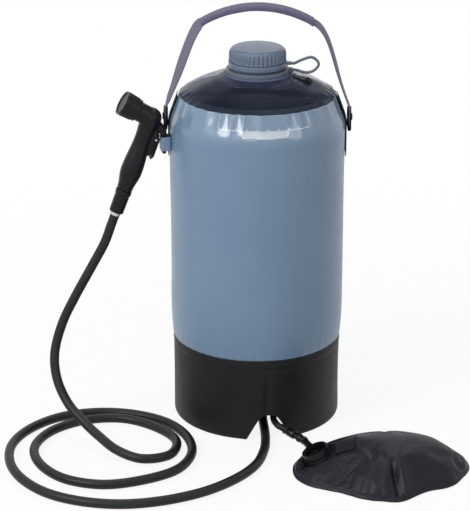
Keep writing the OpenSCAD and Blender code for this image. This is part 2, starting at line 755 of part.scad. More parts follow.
// Pin that carries the trigger in the handset's cheeks
module trigger_pin() {
    pin_half = trigger_w / 2 + gap + cheek_t;
    color([0.6, 0.6, 0.62])
    at_pivot() translate([0, -pin_half, 0]) rotate([-90, 0, 0]) cylinder(r = trigger_pin_r, h = 2 * pin_half);
}

// Valve stem that the trigger pushes in
stem_out = lever_in - gap;
module valve_stem() {
    color([0.7, 0.7, 0.68])
    at_valve() {
        translate([0, 0, stem_in]) cylinder(r = stem_r, h = stem_out - stem_in - eps);
        translate([0, 0, stem_out - stem_head_t]) cylinder(r = stem_head_r, h = stem_head_t);
    }
}

// Sealing ring on the stem, inside the valve chamber
seal_z = 0;
seal_t = 2;
module valve_seal() {
    color([0.15, 0.15, 0.15])
    at_valve() translate([0, 0, seal_z])
    difference() {
        cylinder(r = chamber_r - run_fit, h = seal_t);
        translate([0, 0, -1]) cylinder(r = stem_r + run_fit, h = seal_t + 2);
    }
}

// Return spring round the stem, between its pocket and the stem's head
spring_turns = 5;
spring_wire_r = 0.4;
spring_mean_r = 3.1;
spring_rings = 8;
spring_low = spring_seat + spring_wire_r + run_fit;
spring_high = stem_out - stem_head_t - spring_wire_r - run_fit;
spring_path = [for (i = [0:spring_turns * spring_rings]) let (a = 360 * i / spring_rings)
    [spring_mean_r * cos(a), spring_mean_r * sin(a),
     spring_low + (spring_high - spring_low) * i / (spring_turns * spring_rings)]];
module trigger_spring() {
    color([0.7, 0.7, 0.72])
    at_valve() tube(spring_path, spring_wire_r, 6, [1, 0, 0]);
}

// Nut at the grip's lower end that holds the hose and turns on the spigot
nut_top = grip_len + gap;
nut_low = nut_top + nut_len;
nut_bore_r = 4.5;
nut_ring = 5;
module hose_nut() {
    ring_r = grip_end_r + 0.5;
    color([0.1, 0.1, 0.11])
    along_grip() rotate_extrude()
        polygon([[spigot_r + run_fit, -nut_top], [ring_r, -nut_top], [ring_r, -nut_top - nut_ring],
                 [ring_r - 0.8, -nut_top - nut_ring - 1], [nut_r, -nut_low + 1], [nut_r - 1, -nut_low],
                 [nut_bore_r, -nut_low], [nut_bore_r, -nut_top - spigot_len],
                 [spigot_r + run_fit, -nut_top - spigot_len]]);
}

// Metal ferrule at the hose's end
ferrule_r = hose_r + 0.5;
module hose_ferrule() {
    color([0.75, 0.75, 0.77])
    along_grip() translate([0, 0, -nut_low - ferrule_len])
    difference() {
        cylinder(r = ferrule_r, h = ferrule_len);
        translate([0, 0, -1]) cylinder(r = nut_bore_r, h = ferrule_len + 2);
    }
}

// Point on the grip's axis, a distance below the elbow
function grip_point(t) =
    let (out = -hook_x - elbow_out - t * sin(grip_lean))
    [out * cos(hang_turn), out * sin(hang_turn), elbow_z - t * cos(grip_lean)];
// Route of the shower hose: down from the outlet, out through the notch, two loose
// loops on the ground, and up to the handset
hose_end_t = nut_low + ferrule_len + gap;
hose_leads = [40, 14, 7, 0];
hose_route = concat(
    [[outlet_xy[0], outlet_xy[1], outlet_low_z], [outlet_xy[0], outlet_xy[1], outlet_low_z - 12],
     [outlet_xy[0], outlet_xy[1], outlet_low_z - 25]],
    [[5, -19, 31], [7, -38, 13], [9, -63, hose_r], [11, -90, hose_r], [12, -118, hose_r],
     [10, -150, hose_r], [0, -190, hose_r], [-24, -228, hose_r], [-62, -263, hose_r],
     [-110, -287, hose_r], [-160, -297, hose_r], [-210, -290, hose_r], [-254, -268, hose_r],
     [-288, -230, hose_r], [-307, -184, hose_r], [-309, -134, hose_r], [-290, -88, hose_r],
     [-254, -53, hose_r], [-206, -39, hose_r], [-158, -45, hose_r], [-115, -70, hose_r],
     [-88, -112, hose_r], [-81, -160, hose_r], [-98, -205, hose_r], [-140, -234, hose_r],
     [-188, -246, hose_r], [-236, -230, hose_r], [-269, -190, hose_r], [-280, -142, hose_r],
     [-262, -95, hose_r], [-221, -63, hose_r], [-173, -58, hose_r], [-130, -83, hose_r],
     [-102, -122, hose_r], [-108, -163, hose_r], [-142, -178, 7.5], [-174, -162, 11],
     [-199, -134, 17], [-221, -112, 28], [-242, -92, 45], [-256, -76, 71], [-259, -64, 102],
     [-249, -55, 139], [-232, -50, 174], [-211, -46, 212]],
    [for (lead = hose_leads) grip_point(hose_end_t + lead)]);
hose_sides = 10;
hose_path = spline(hose_route, 2);
// Least gap of the hose to itself, between points that aren't close along it
hose_near = 6;
hose_gap = min([for (i = [0:len(hose_path) - 1]) for (j = [i + hose_near:1:len(hose_path) - 1])
                norm(hose_path[i] - hose_path[j])]) - 2 * hose_r;
module shower_hose() {
    echo(hose_gap = hose_gap);
    color([0.14, 0.14, 0.15]) tube(hose_path, hose_r, hose_sides, [1, 0, 0]);
}

// Straight line of the coupling, from the air hose to the pump's outlet
line_start = [36, -base_r - 2, 17];
coupling_end = line_start + [25, -19, -7];
outlet_end = line_start + [38, -48, -8.4];
line_along = unit(coupling_end - line_start);
line_leads = [11, 5, 0];
// Route of the air hose from the inlet to the coupling outside the notch
air_route = concat(
    [[inlet_xy[0], inlet_xy[1], inlet_low_z], [inlet_xy[0], inlet_xy[1], inlet_low_z - 8],
     [inlet_xy[0], inlet_xy[1], inlet_low_z - 18]],
    [[31, -44, 42], [25, -66, 29], [22, -base_r + 20, 22.5]],
    [for (lead = line_leads) line_start - lead * line_along]);
module air_hose() {
    color([0.14, 0.14, 0.15]) tube(spline(air_route, 2), air_r, hose_sides, [1, 0, 0]);
}

// Fittings through the tank floor
flange_h = 3;
nut_h = 5;
module fitting(xy, shank_r, flange_rad, low_z, tail_r) {
    translate([xy[0], xy[1], 0]) {
        translate([0, 0, floor_top_z]) cylinder(r = flange_rad, h = flange_h);
        translate([0, 0, floor_low_z - nut_h]) cylinder(r = shank_r, h = floor_t + nut_h);
        translate([0, 0, low_z]) cylinder(r = tail_r, h = floor_low_z - nut_h - low_z);
    }
}
module fitting_nut(xy, shank_r, across) {
    translate([xy[0], xy[1], floor_low_z - nut_h])
    difference() {
        cylinder(r = across / 2 / cos(30), h = nut_h, $fn = 6);
        translate([0, 0, -1]) cylinder(r = shank_r + run_fit, h = nut_h + 2);
    }
}
outlet_nut_w = 21;
air_nut_w = 16;
module water_outlet() {
    color([0.2, 0.21, 0.22])
    difference() {
        fitting(outlet_xy, port_r, port_r + 5, outlet_low_z, hose_r);
        translate([outlet_xy[0], outlet_xy[1], outlet_low_z + 4]) cylinder(r = 3.2, h = far);
    }
}
module outlet_nut() { color([0.2, 0.21, 0.22]) fitting_nut(outlet_xy, port_r, outlet_nut_w); }
module air_inlet() {
    color([0.2, 0.21, 0.22])
    difference() {
        fitting(inlet_xy, air_port_r, air_port_r + 4, inlet_low_z, air_r);
        translate([inlet_xy[0], inlet_xy[1], inlet_low_z + 4]) cylinder(r = 2.2, h = far);
    }
}
module air_nut() { color([0.2, 0.21, 0.22]) fitting_nut(inlet_xy, air_port_r, air_nut_w); }

// Rubber valve over the air inlet, which keeps water out of the air hose
valve_h = 14;
valve_root_h = 4;
module check_valve() {
    top = floor_top_z + flange_h;
    color([0.3, 0.3, 0.3])
    translate([inlet_xy[0], inlet_xy[1], top])
    difference() {
        union() {
            cylinder(r = air_port_r + 3, h = valve_root_h);
            translate([0, 0, valve_root_h]) cylinder(r1 = air_port_r + 1, r2 = 1.6, h = valve_h - valve_root_h);
        }
        translate([0, 0, -1]) cylinder(r = 2.2, h = valve_root_h + 1);
        translate([-0.3, -air_port_r, valve_root_h + 4]) cube([0.6, 2 * air_port_r, valve_h]);
    }
}

// Band clamps on the two fittings' tails
clamp_h = 6;
clamp_t = 1.4;
clamp_up = 3;
module clamp(xy, tail_r, low_z) {
    translate([xy[0], xy[1], low_z + clamp_up])
    difference() {
        union() {
            cylinder(r = tail_r + clamp_t, h = clamp_h);
            translate([-3, tail_r, 1]) cube([6, 4, clamp_h - 2]);
        }
        translate([0, 0, -1]) cylinder(r = tail_r + run_fit, h = clamp_h + 2);
    }
}
module hose_clamps() {
    color([0.66, 0.67, 0.69]) {
        clamp(outlet_xy, hose_r, outlet_low_z);
        clamp(inlet_xy, air_r, inlet_low_z);
    }
}

module along_line(from, to) {
    d = to - from;
    translate(from) rotate([0, 0, atan2(d[1], d[0])]) rotate([0, acos(d[2] / norm(d)), 0]) children();
}
socket_len = 17;
socket_r = 5.6;
coupling_ring = 2.2;
// Female half of the air coupling, with two grip rings
module coupling_socket() {
    color([0.12, 0.12, 0.13])
    along_line(line_start, coupling_end) rotate_extrude()
        polygon([[0, 0], [air_r + 0.4, 0], [air_r + 0.4, 1], [socket_r, 1], [socket_r, 1 + coupling_ring],
                 [socket_r - 0.8, 2 + coupling_ring], [socket_r - 0.8, 4 + coupling_ring],
                 [socket_r, 5 + coupling_ring], [socket_r, socket_len], [0, socket_len]]);
}
// Male half of the air coupling, up to the pump's outlet
plug_r = air_r + 0.2;
plug_ring = 3.5;
outlet_r = 4.6;
outlet_elbow_r = outlet_r + 0.8;
module coupling_plug() {
    reach = norm(coupling_end - line_start) - outlet_elbow_r;
    color([0.12, 0.12, 0.13])
    along_line(line_start, coupling_end) rotate_extrude()
        polygon([[0, socket_len], [plug_r, socket_len], [plug_r, reach - plug_ring - 1],
                 [socket_r, reach - plug_ring], [socket_r, reach], [0, reach]]);
}
// Elbowed spigot welded into the pump's edge
module pump_outlet() {
    color([0.12, 0.12, 0.13]) {
        along_line(coupling_end, outlet_end) {
            sphere(r = outlet_elbow_r);
            cylinder(r = outlet_r, h = norm(outlet_end - coupling_end));
        }
        along_line(coupling_end, line_start) cylinder(r = outlet_r, h = outlet_elbow_r);
    }
}

// Foot pump: outline and height of its padded shape
seam_up = 3;
pump_seam_z = panel_t + seam_up;
crease_depth = 5;
crease_turn = -77;
crease_half = 11;
// Where the outline is drawn in (or, below nought, bulges): direction, half width, share
pump_nips = [[-136, 24, 0.165], [-43, 24, 0.23], [-10, 14, 0.09], [-79, 9, -0.05], [27, 12, -0.03]];
function pump_nip(a) =
    [for (n = pump_nips) n[2]] * [for (n = pump_nips) exp(-pow(((a - n[0] + 540) % 360 - 180) / n[1], 2))];
function pump_share(x, y) =
    pow(pow(abs(x) / pump_a, pump_square) + pow(abs(y) / pump_b, pump_square), 1 / pump_square)
    / (1 - pump_nip(atan2(y, x)));
function pump_edge(a) = 1 / pump_share(cos(a), sin(a));
function crease(x, y, f) =
    crease_depth * exp(-pow((atan2(y, x) - crease_turn) / crease_half, 2)) * pow(f, 2) * (1 - pow(f, 6));
// Fullness of the crown: power on its fullest side, on the opposite side, and the first one's direction
crown_full = [2.5, 1.5, 20];
function crown_power(a) = crown_full[1] + (crown_full[0] - crown_full[1]) * (1 + cos(a - crown_full[2])) / 2;
// Height of the outer skin over a point given from the pump's middle
function pump_skin(x, y) =
    let (f = min(pump_share(x, y), 1), power = crown_power(atan2(y, x)))
    pump_seam_z + (pump_h - pump_seam_z) * pow(1 - pow(f, power), 0.8) - crease(x, y, f);
pump_sides = 48;
pump_rings = 8;
// Points of a domed skin at an offset below the outer one, from the rim to the crown
function skin_points(inset) =
    [for (j = [0:pump_rings - 1]) for (k = [0:pump_sides - 1])
        let (a = 360 * k / pump_sides, f = sin(90 * (pump_rings - j) / pump_rings),
             r = f * (pump_edge(a) - inset), p = r * [cos(a), sin(a)], q = f * pump_edge(a) * [cos(a), sin(a)])
        [pump_xy[0] + p[0], pump_xy[1] + p[1], pump_skin(q[0], q[1]) - inset]];
function crown_point(inset) = [pump_xy[0], pump_xy[1], pump_skin(0.01, 0) - inset];
// Triangles of a domed skin whose points start at a given index; up faces outwards
function skin_faces(start, top, up) =
    concat([for (j = [0:pump_rings - 2]) for (k = [0:pump_sides - 1])
        let (a = start + j * pump_sides + k, b = start + j * pump_sides + (k + 1) % pump_sides)
        each (up ? [[a, b + pump_sides, b], [a, a + pump_sides, b + pump_sides]]
                 : [[a, b, b + pump_sides], [a, b + pump_sides, a + pump_sides]])],
        [for (k = [0:pump_sides - 1])
            let (a = start + (pump_rings - 1) * pump_sides + k,
                 b = start + (pump_rings - 1) * pump_sides + (k + 1) % pump_sides)
            up ? [a, top, b] : [a, b, top]]);
// Closed solid under a skin, down to a flat underside
module pump_solid(inset, low) {
    count = pump_rings * pump_sides;
    floor_ring = [for (k = [0:pump_sides - 1]) let (p = skin_points(inset)[k]) [p[0], p[1], low]];
    points = concat(skin_points(inset), [crown_point(inset)], floor_ring);
    side = [for (k = [0:pump_sides - 1])
        let (a = k, b = (k + 1) % pump_sides, c = count + 1 + k, d = count + 1 + (k + 1) % pump_sides)
        each [[c, b, d], [c, a, b]]];
    under = [for (k = [1:pump_sides - 2]) [count + 1, count + 1 + k, count + 2 + k]];
    polyhedron(points, concat(skin_faces(0, count, true), side, under), convexity = 6);
}
module at_intake() {
    p = intake_xy - pump_xy;
    translate([intake_xy[0], intake_xy[1], pump_skin(p[0], p[1])]) rotate([0, -intake_tilt, 0]) children();
}

// Flat underside of the pump, a welded rim wider than the pad
rim_w = 3;
module pump_bottom_panel() {
    color([0.12, 0.12, 0.13])
    translate([pump_xy[0], pump_xy[1], 0]) linear_extrude(height = panel_t)
        polygon([for (k = [0:pump_sides - 1]) let (a = 360 * k / pump_sides)
                 (pump_edge(a) + rim_w) * [cos(a), sin(a)]]);
}

// Domed upper panel, open under the intake and at the outlet
module pump_top_panel() {
    count = pump_rings * pump_sides;
    ring = [for (k = [0:pump_sides - 1]) let (p = skin_points(0)[k]) [p[0], p[1], panel_t]];
    inner_ring = [for (k = [0:pump_sides - 1]) let (p = skin_points(panel_t)[k]) [p[0], p[1], panel_t]];
    points = concat(skin_points(0), [crown_point(0)], skin_points(panel_t), [crown_point(panel_t)],
                    ring, inner_ring);
    inner = count + 1;
    low = 2 * (count + 1);
    low_in = low + pump_sides;
    rim = [for (k = [0:pump_sides - 1]) let (n = (k + 1) % pump_sides)
        each [[low + k, n, low + n], [low + k, k, n],
              [low_in + k, low_in + n, inner + n], [low_in + k, inner + n, inner + k],
              [low + k, low + n, low_in + n], [low + k, low_in + n, low_in + k]]];
    color([0.15, 0.15, 0.16])
    difference() {
        polyhedron(points, concat(skin_faces(0, count, true), skin_faces(inner, inner + count, false), rim),
                   convexity = 8);
        at_intake() translate([0, 0, -far / 2]) cylinder(r = intake_bore_r, h = far);
        along_line(coupling_end, outlet_end) cylinder(r = outlet_r + run_fit, h = far / 4);
    }
}

// Springy foam core that swells the pump again after each press
foam_gap = 0.4;
pocket_deep = 14;
module pump_foam() {
    color([0.5, 0.48, 0.4])
    difference() {
        pump_solid(panel_t + foam_gap, panel_t + foam_gap);
        at_intake() translate([0, 0, -pocket_deep]) cylinder(r = intake_bore_r + 1, h = far);
        along_line(coupling_end, outlet_end) cylinder(r = outlet_r + 1, h = pump_a / 2);
    }
}

// Intake ring on the pump's slope, with a spider over the flap
ring_foot = 8;
spider_t = 2;
spider_w = 2;
spider_z = 2.2;
module intake_ring() {
    color([0.1, 0.1, 0.11])
    difference() {
        at_intake() difference() {
            union() {
                translate([0, 0, -ring_foot]) cylinder(r = intake_r + 2.5, h = ring_foot + 2);
                cylinder(r = intake_r, h = intake_h);
            }
            difference() {
                translate([0, 0, -far / 2]) cylinder(r = intake_bore_r, h = far);
                for (a = [0, 60, 120])
                    rotate([0, 0, a]) translate([-intake_r, -spider_w / 2, spider_z])
                        cube([2 * intake_r, spider_w, spider_t]);
            }
            translate([0, 0, intake_h - 2]) cylinder(r = intake_r - 1.6, h = 3);
        }
        pump_solid(-run_fit, -1);
    }
}

// Rubber flap under the spider, hinged at one edge
flap_t = 1;
flap_r = intake_bore_r - 0.9;
module intake_flap() {
    color([0.2, 0.2, 0.2])
    at_intake() translate([0, 0, spider_z - gap - flap_t]) cylinder(r = flap_r, h = flap_t);
}

// Fabric pull tab on the pump beside the intake
tab_box = [pump_xy + [-59, -12], pump_xy + [-37, 16]];
tab_grid = 5;
tab_t = 1.6;
module pump_tab() {
    n = tab_grid + 1;
    place = [for (i = [0:tab_grid]) for (j = [0:tab_grid])
        [tab_box[0][0] + (tab_box[1][0] - tab_box[0][0]) * i / tab_grid,
         tab_box[0][1] + (tab_box[1][1] - tab_box[0][1]) * j / tab_grid]];
    top = [for (p = place) [p[0], p[1], pump_skin(p[0] - pump_xy[0], p[1] - pump_xy[1]) + gap + tab_t]];
    low = [for (p = place) [p[0], p[1], pump_skin(p[0] - pump_xy[0], p[1] - pump_xy[1]) + gap]];
    m = n * n;
    cells = [for (i = [0:tab_grid - 1]) for (j = [0:tab_grid - 1]) let (a = i * n + j)
        each [[a, a + 1, a + n + 1], [a, a + n + 1, a + n],
              [m + a, m + a + n + 1, m + a + 1], [m + a, m + a + n, m + a + n + 1]]];
    edges = [for (i = [0:tab_grid - 1]) let (l = i, r = tab_grid * n + i, f = i * n, b = i * n + tab_grid)
        each [[l, m + l, m + l + 1], [l, m + l + 1, l + 1],
              [r, r + 1, m + r + 1], [r, m + r + 1, m + r],
              [f, f + n, m + f + n], [f, m + f + n, m + f],
              [b, m + b, m + b + n], [b, m + b + n, b + n]]];
    color([0.09, 0.09, 0.1]) polyhedron(concat(top, low), concat(cells, edges), convexity = 4);
}

// Two small eyes moulded on the intake ring's left side
eye_r = 3.4;
eye_wire_r = 0.9;
eye_turns = [165, 205];
module ring_loops() {
    color([0.1, 0.1, 0.11])
    at_intake() for (a = eye_turns)
        rotate([0, 0, a]) translate([intake_r + 2.5 + eye_r + eye_wire_r + run_fit, 0, 0])
            rotate_extrude() translate([eye_r, 0]) circle(r = eye_wire_r, $fn = 16);
}

tank_wall();
tank_window();
window_weld();
tank_floor();
base_skirt();
filler_neck();
tether_collar();
cap_tether();
dome_tab();
cap_swivel_ring();
filler_cap();
cap_gasket();
anchor_tape_left();
anchor_tape_right();
anchor_fold_left();
anchor_fold_right();
anchor_rivet_left();
anchor_rivet_right();
handle_webbing();
handle_grip();
handset_loop();
handset_body();
spray_ring();
spray_face();
trigger();
trigger_pin();
trigger_spring();
valve_stem();
valve_seal();
hose_nut();
hose_ferrule();
shower_hose();
air_hose();
water_outlet();
outlet_nut();
air_inlet();
air_nut();
check_valve();
hose_clamps();
coupling_socket();
coupling_plug();
pump_outlet();
pump_bottom_panel();
pump_top_panel();
pump_foam();
intake_ring();
intake_flap();
pump_tab();
ring_loops();
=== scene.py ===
# %% [markdown]
# A camp shower, dressed for its picture. The solids of the part come in as a fixed frame.
# Most hard pieces keep their solids and only get a finish. What is soft, woven, fluted or
# melted together is built again here as a surface: a grid of points worked out by a formula
# in two parameters, or an outline carried along a path. Lengths are written in millimetres
# and become metres when a mesh is made.

# %% Load the frame
import json
import math

import bmesh
import bpy
import numpy as np
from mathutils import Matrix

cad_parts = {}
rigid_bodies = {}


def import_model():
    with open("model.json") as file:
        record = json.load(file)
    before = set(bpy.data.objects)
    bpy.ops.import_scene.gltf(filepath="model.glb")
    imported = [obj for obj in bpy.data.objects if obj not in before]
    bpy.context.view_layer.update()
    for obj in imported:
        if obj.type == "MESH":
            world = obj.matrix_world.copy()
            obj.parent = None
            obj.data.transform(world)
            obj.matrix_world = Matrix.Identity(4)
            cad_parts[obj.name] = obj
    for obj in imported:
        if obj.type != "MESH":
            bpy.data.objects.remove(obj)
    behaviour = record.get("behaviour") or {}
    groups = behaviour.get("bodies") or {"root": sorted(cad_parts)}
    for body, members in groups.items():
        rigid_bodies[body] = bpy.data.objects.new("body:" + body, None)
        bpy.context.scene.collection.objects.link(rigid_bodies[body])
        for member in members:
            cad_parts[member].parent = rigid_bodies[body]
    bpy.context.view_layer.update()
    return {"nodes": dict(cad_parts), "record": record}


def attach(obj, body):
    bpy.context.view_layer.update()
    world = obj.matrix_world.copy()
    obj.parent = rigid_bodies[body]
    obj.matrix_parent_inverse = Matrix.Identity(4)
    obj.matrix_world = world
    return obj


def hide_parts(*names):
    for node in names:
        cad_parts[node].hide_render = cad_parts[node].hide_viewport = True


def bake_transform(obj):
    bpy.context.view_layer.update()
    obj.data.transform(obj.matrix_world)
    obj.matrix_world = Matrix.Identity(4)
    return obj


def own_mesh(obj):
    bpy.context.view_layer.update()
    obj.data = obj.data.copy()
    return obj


for leftover in list(bpy.data.objects):
    bpy.data.objects.remove(leftover)
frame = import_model()
slot_of = {part["node"]: part["material_slot"] for part in frame["record"]["subparts"]}

# %% [markdown]
# The camera stands 2.5 m in front of the tank and 1.16 m up, and looks down by 20.7 degrees.
# A long lens could stand further off, but the near and the far rim of the tank differ enough
# in the picture to fix this distance.

# %% Camera
IMAGE = (470, 511)
FOCAL_PIXELS = 2066.25
scene = bpy.context.scene
scene.view_settings.view_transform = "Standard"
lens = bpy.data.cameras.new("camera")
lens.sensor_width = 36
lens.lens = FOCAL_PIXELS / max(IMAGE) * lens.sensor_width
lens.clip_end = 60
camera = bpy.data.objects.new("camera", lens)
camera.location = (0, -2.5, 1.15884)
camera.rotation_euler = (math.pi / 2 - 0.36204, 0, 0.01128)
scene.collection.objects.link(camera)
scene.camera = camera
print("lens:", round(lens.lens, 1), "mm")

# %% [markdown]
# Every new piece goes through one function. It takes grids of points, makes faces between
# neighbouring rows and columns, and gives each face corner a place in metres across the
# cloth, so that a weave has its true size. A round piece repeats its first column as its
# last one, and a closed end shrinks a row to a point; merging doubles then shuts both.

# %% Grids to pieces
MM = 0.001
collection = scene.collection
finishes = {}


def spans(steps):
    """Running length: nought, then the sum of the steps so far."""
    return np.concatenate([[0.0], np.cumsum(steps)])


def cloth_places(grid):
    """Length along the columns and along the rows, averaged over the grid, in metres."""
    across = spans(np.linalg.norm(np.diff(grid, axis=1), axis=2).mean(axis=0))
    along = spans(np.linalg.norm(np.diff(grid, axis=0), axis=2).mean(axis=1))
    return np.stack(np.meshgrid(across, along), axis=-1) * MM


def piece(name, grids, body, finish, wall=0.0):
    """Joins grids of points (rows, columns, xyz in mm) into one mesh that rides on a body.

    Four neighbours on a grid make a face. A wall thicker than nought is built inwards."""
    grids = [np.asarray(grid, float) for grid in grids]
    starts = spans([grid.shape[0] * grid.shape[1] for grid in grids]).astype(int)
    quads = []
    for first, grid in zip(starts, grids):
        index = first + np.arange(grid.shape[0] * grid.shape[1]).reshape(grid.shape[:2])
        corners = (index[:-1, :-1], index[:-1, 1:], index[1:, 1:], index[1:, :-1])
        quads.append(np.stack(corners, axis=-1).reshape(-1, 4))
    quads = np.concatenate(quads)
    points = np.concatenate([grid.reshape(-1, 3) for grid in grids]) * MM
    places = np.concatenate([cloth_places(grid).reshape(-1, 2) for grid in grids])
    mesh = bpy.data.meshes.new(name)
    mesh.from_pydata(points.tolist(), [], quads.tolist())
    mesh.uv_layers.new(name="cloth").data.foreach_set("uv", places[quads.ravel()].ravel())
    work = bmesh.new()
    work.from_mesh(mesh)
    bmesh.ops.remove_doubles(work, verts=work.verts, dist=2e-6)
    bmesh.ops.dissolve_degenerate(work, edges=work.edges, dist=1e-7)
    bmesh.ops.recalc_face_normals(work, faces=work.faces)
    work.to_mesh(mesh)
    work.free()
    mesh.polygons.foreach_set("use_smooth", np.ones(len(mesh.polygons), bool))
    made = bpy.data.objects.new(name, mesh)
    collection.objects.link(made)
    if wall:
        solid = made.modifiers.new("wall", "SOLIDIFY")
        solid.thickness = wall * MM
        solid.offset = -1
        solid.use_even_offset = True
    if body:
        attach(made, body)
    finishes.setdefault(finish, []).append(made)
    print(name, len(mesh.polygons), "faces")
    return made


# %% [markdown]
# Most soft pieces here are strips and tubes: an outline carried along a path. The outline's
# first axis points along a side direction that is given or follows the path, and its
# second axis stands on both.

# %% Outlines and paths
def unit(vectors):
    """Each vector over its length."""
    vectors = np.asarray(vectors, float)
    return vectors / np.linalg.norm(vectors, axis=-1, keepdims=True)


def stacked(*axes):
    """Points from their coordinates, each of them a number or an array."""
    return np.stack(np.broadcast_arrays(*axes), axis=-1)


def polar(radius, turn, z):
    """Points at a radius and an angle about the upright axis, at a height."""
    return stacked(radius * np.cos(turn), radius * np.sin(turn), z)


def smooth_path(points, steps):
    """Curve through all points: between two of them a cubic whose slope at each point is
    half the step from the point before to the point after."""
    points = np.asarray(points, float)
    ends = np.concatenate([points[:1], points, points[-1:]])
    a, b, c, d = (ends[k:len(ends) - 3 + k, None] for k in range(4))
    t = (np.arange(steps) / steps)[None, :, None]
    curve = 2 * b + (c - a) * t + (2 * a - 5 * b + 4 * c - d) * t ** 2
    curve = (curve + (3 * b - a - 3 * c + d) * t ** 3) / 2
    return np.concatenate([curve.reshape(-1, points.shape[1]), points[-1:]])


def oval(half_w, half_t, square, steps):
    """Closed outline of cosine and sine raised to a power: one is round, and less is boxy."""
    turn = np.linspace(0, 2 * np.pi, steps + 1)
    wide = half_w * np.sign(np.cos(turn)) * np.abs(np.cos(turn)) ** square
    thick = half_t * np.sign(np.sin(turn)) * np.abs(np.sin(turn)) ** square
    return stacked(wide, thick)


def carried(path, outline, side, size=1.0, shut=True):
    """Outline carried along a path: path + side * width + (heading x side) * height.

    The side is first made square to the heading. Size scales the outline at each point."""
    path = np.asarray(path, float)
    heading = unit(np.gradient(path, axis=0))
    side = np.broadcast_to(np.asarray(side, float), path.shape)
    side = unit(side - (side * heading).sum(axis=1, keepdims=True) * heading)
    up = np.cross(heading, side)
    size = np.asarray(size, float)
    if size.ndim < 2:
        size = size.reshape(-1, 1)
    size = np.broadcast_to(size, (len(path), 2))
    wide = outline[None, :, :1] * size[:, None, :1] * side[:, None]
    thick = outline[None, :, 1:] * size[:, None, 1:] * up[:, None]
    grid = path[:, None] + wide + thick
    if shut:
        ends = np.repeat(path[[0, -1]][:, None], outline.shape[0], axis=1)
        grid = np.concatenate([ends[:1], grid, ends[1:]])
    return grid


def turned(profile, steps):
    """Profile of radius and height turned about the upright axis."""
    profile = np.asarray(profile, float)
    turn = np.radians(np.linspace(0, 360, steps + 1))
    return polar(profile[:, :1], turn, profile[:, 1:])


def slab(one, other):
    """Two sheets of equal size and the four strips that shut their edges."""
    edges = [(one[0], other[0]), (one[-1], other[-1]),
             (one[:, 0], other[:, 0]), (one[:, -1], other[:, -1])]
    return [one, other] + [np.stack(pair) for pair in edges]


def rise(x, low, high):
    """Smooth step: nought below low, one above high, and 3t^2 - 2t^3 between them."""
    t = np.clip((x - low) / (high - low), 0, 1)
    return t * t * (3 - 2 * t)


# %% [markdown]
# The shower hose is the longest piece: one 12 mm rubber hose, about two metres, from the
# outlet under the tank through the notch, twice round on the ground and up to the handset.
# A physics rope could find its own loops, but the picture already shows them, so the route
# repeats the measured points of the solid.

# %% Shower hose
HOSE_R = 6.0
HANG_TURN = math.radians(12.5)
GRIP_LEAN = math.radians(21)
HEAD_RISE = math.radians(31.5)
ELBOW = np.array([-136.0, 0.0, 406.5])


def around_tank(points):
    """Turns points about the upright axis from the left side to where the handset hangs."""
    points = np.asarray(points, float)
    c, s = math.cos(HANG_TURN), math.sin(HANG_TURN)
    x, y, z = np.moveaxis(points, -1, 0)
    return stacked(c * x - s * y, s * x + c * y, z)


def grip_points(down):
    """Points on the grip's axis at distances below the elbow."""
    down = np.asarray(down, float)[:, None]
    return around_tank(ELBOW + down * [-math.sin(GRIP_LEAN), 0, -math.cos(GRIP_LEAN)])


ground_xy = [(9, -63), (11, -90), (12, -118), (10, -150), (0, -190), (-24, -228), (-62, -263),
             (-110, -287), (-160, -297), (-210, -290), (-254, -268), (-288, -230), (-307, -184),
             (-309, -134), (-290, -88), (-254, -53), (-206, -39), (-158, -45), (-115, -70),
             (-88, -112), (-81, -160), (-98, -205), (-140, -234), (-188, -246), (-236, -230),
             (-269, -190), (-280, -142), (-262, -95), (-221, -63), (-173, -58), (-130, -83),
             (-102, -122), (-108, -163)]
down_from_outlet = [(4, -12, 80), (4, -12, 68), (4, -12, 55), (5, -19, 31), (7, -38, 13)]
up_to_handset = [(-142, -178, 7.5), (-174, -162, 11), (-199, -134, 17), (-221, -112, 28),
                 (-242, -92, 45), (-256, -76, 71), (-259, -64, 102), (-249, -55, 139),
                 (-232, -50, 174), (-211, -46, 212)]
HOSE_END = 134.1
hose_route = np.concatenate([
    down_from_outlet, np.pad(np.array(ground_xy, float), ((0, 0), (0, 1)), constant_values=HOSE_R),
    up_to_handset, grip_points(HOSE_END + np.array([40.0, 14.0, 7.0, 0.0]))])
hose_path = smooth_path(hose_route, 8)
round_outline = oval(1, 1, 1, 20)
hose = piece("shower_hose_skin", [carried(hose_path, HOSE_R * round_outline, (0.15, 0.2, 1))],
             None, "hose_rubber")
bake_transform(hose)
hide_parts("shower_hose")

# %% [markdown]
# The air line is a thinner hose from the inlet to the coupling just outside the notch.

# %% Air hose
AIR_R = 4.2
BASE_R = 108.0
line_start = np.array([36, -BASE_R - 2, 17])
line_along = unit(np.array([25.0, -19.0, -7.0]))
air_route = np.concatenate([
    [(34, -34, 78), (34, -34, 70), (34, -34, 60), (31, -44, 42), (25, -66, 29),
     (22, -BASE_R + 20, 22.5)],
    line_start - np.array([[11.0], [5.0], [0.0]]) * line_along])
air_path = smooth_path(air_route, 8)
air_hose = piece("air_hose_skin", [carried(air_path, AIR_R * round_outline, (0.9, 0.3, 0.2))],
                 "tank", "hose_rubber")
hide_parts("air_hose")

# %% [markdown]
# The tank is a tube of coated fabric, drawn in at its seam and leaning in at the shoulder.
# It could be a plain turned profile, but welding the flat window to the round wall gathers
# the cloth, so short folds run down from the window's edge. They are waves round the tank
# whose places wander a little, so that no two are alike.

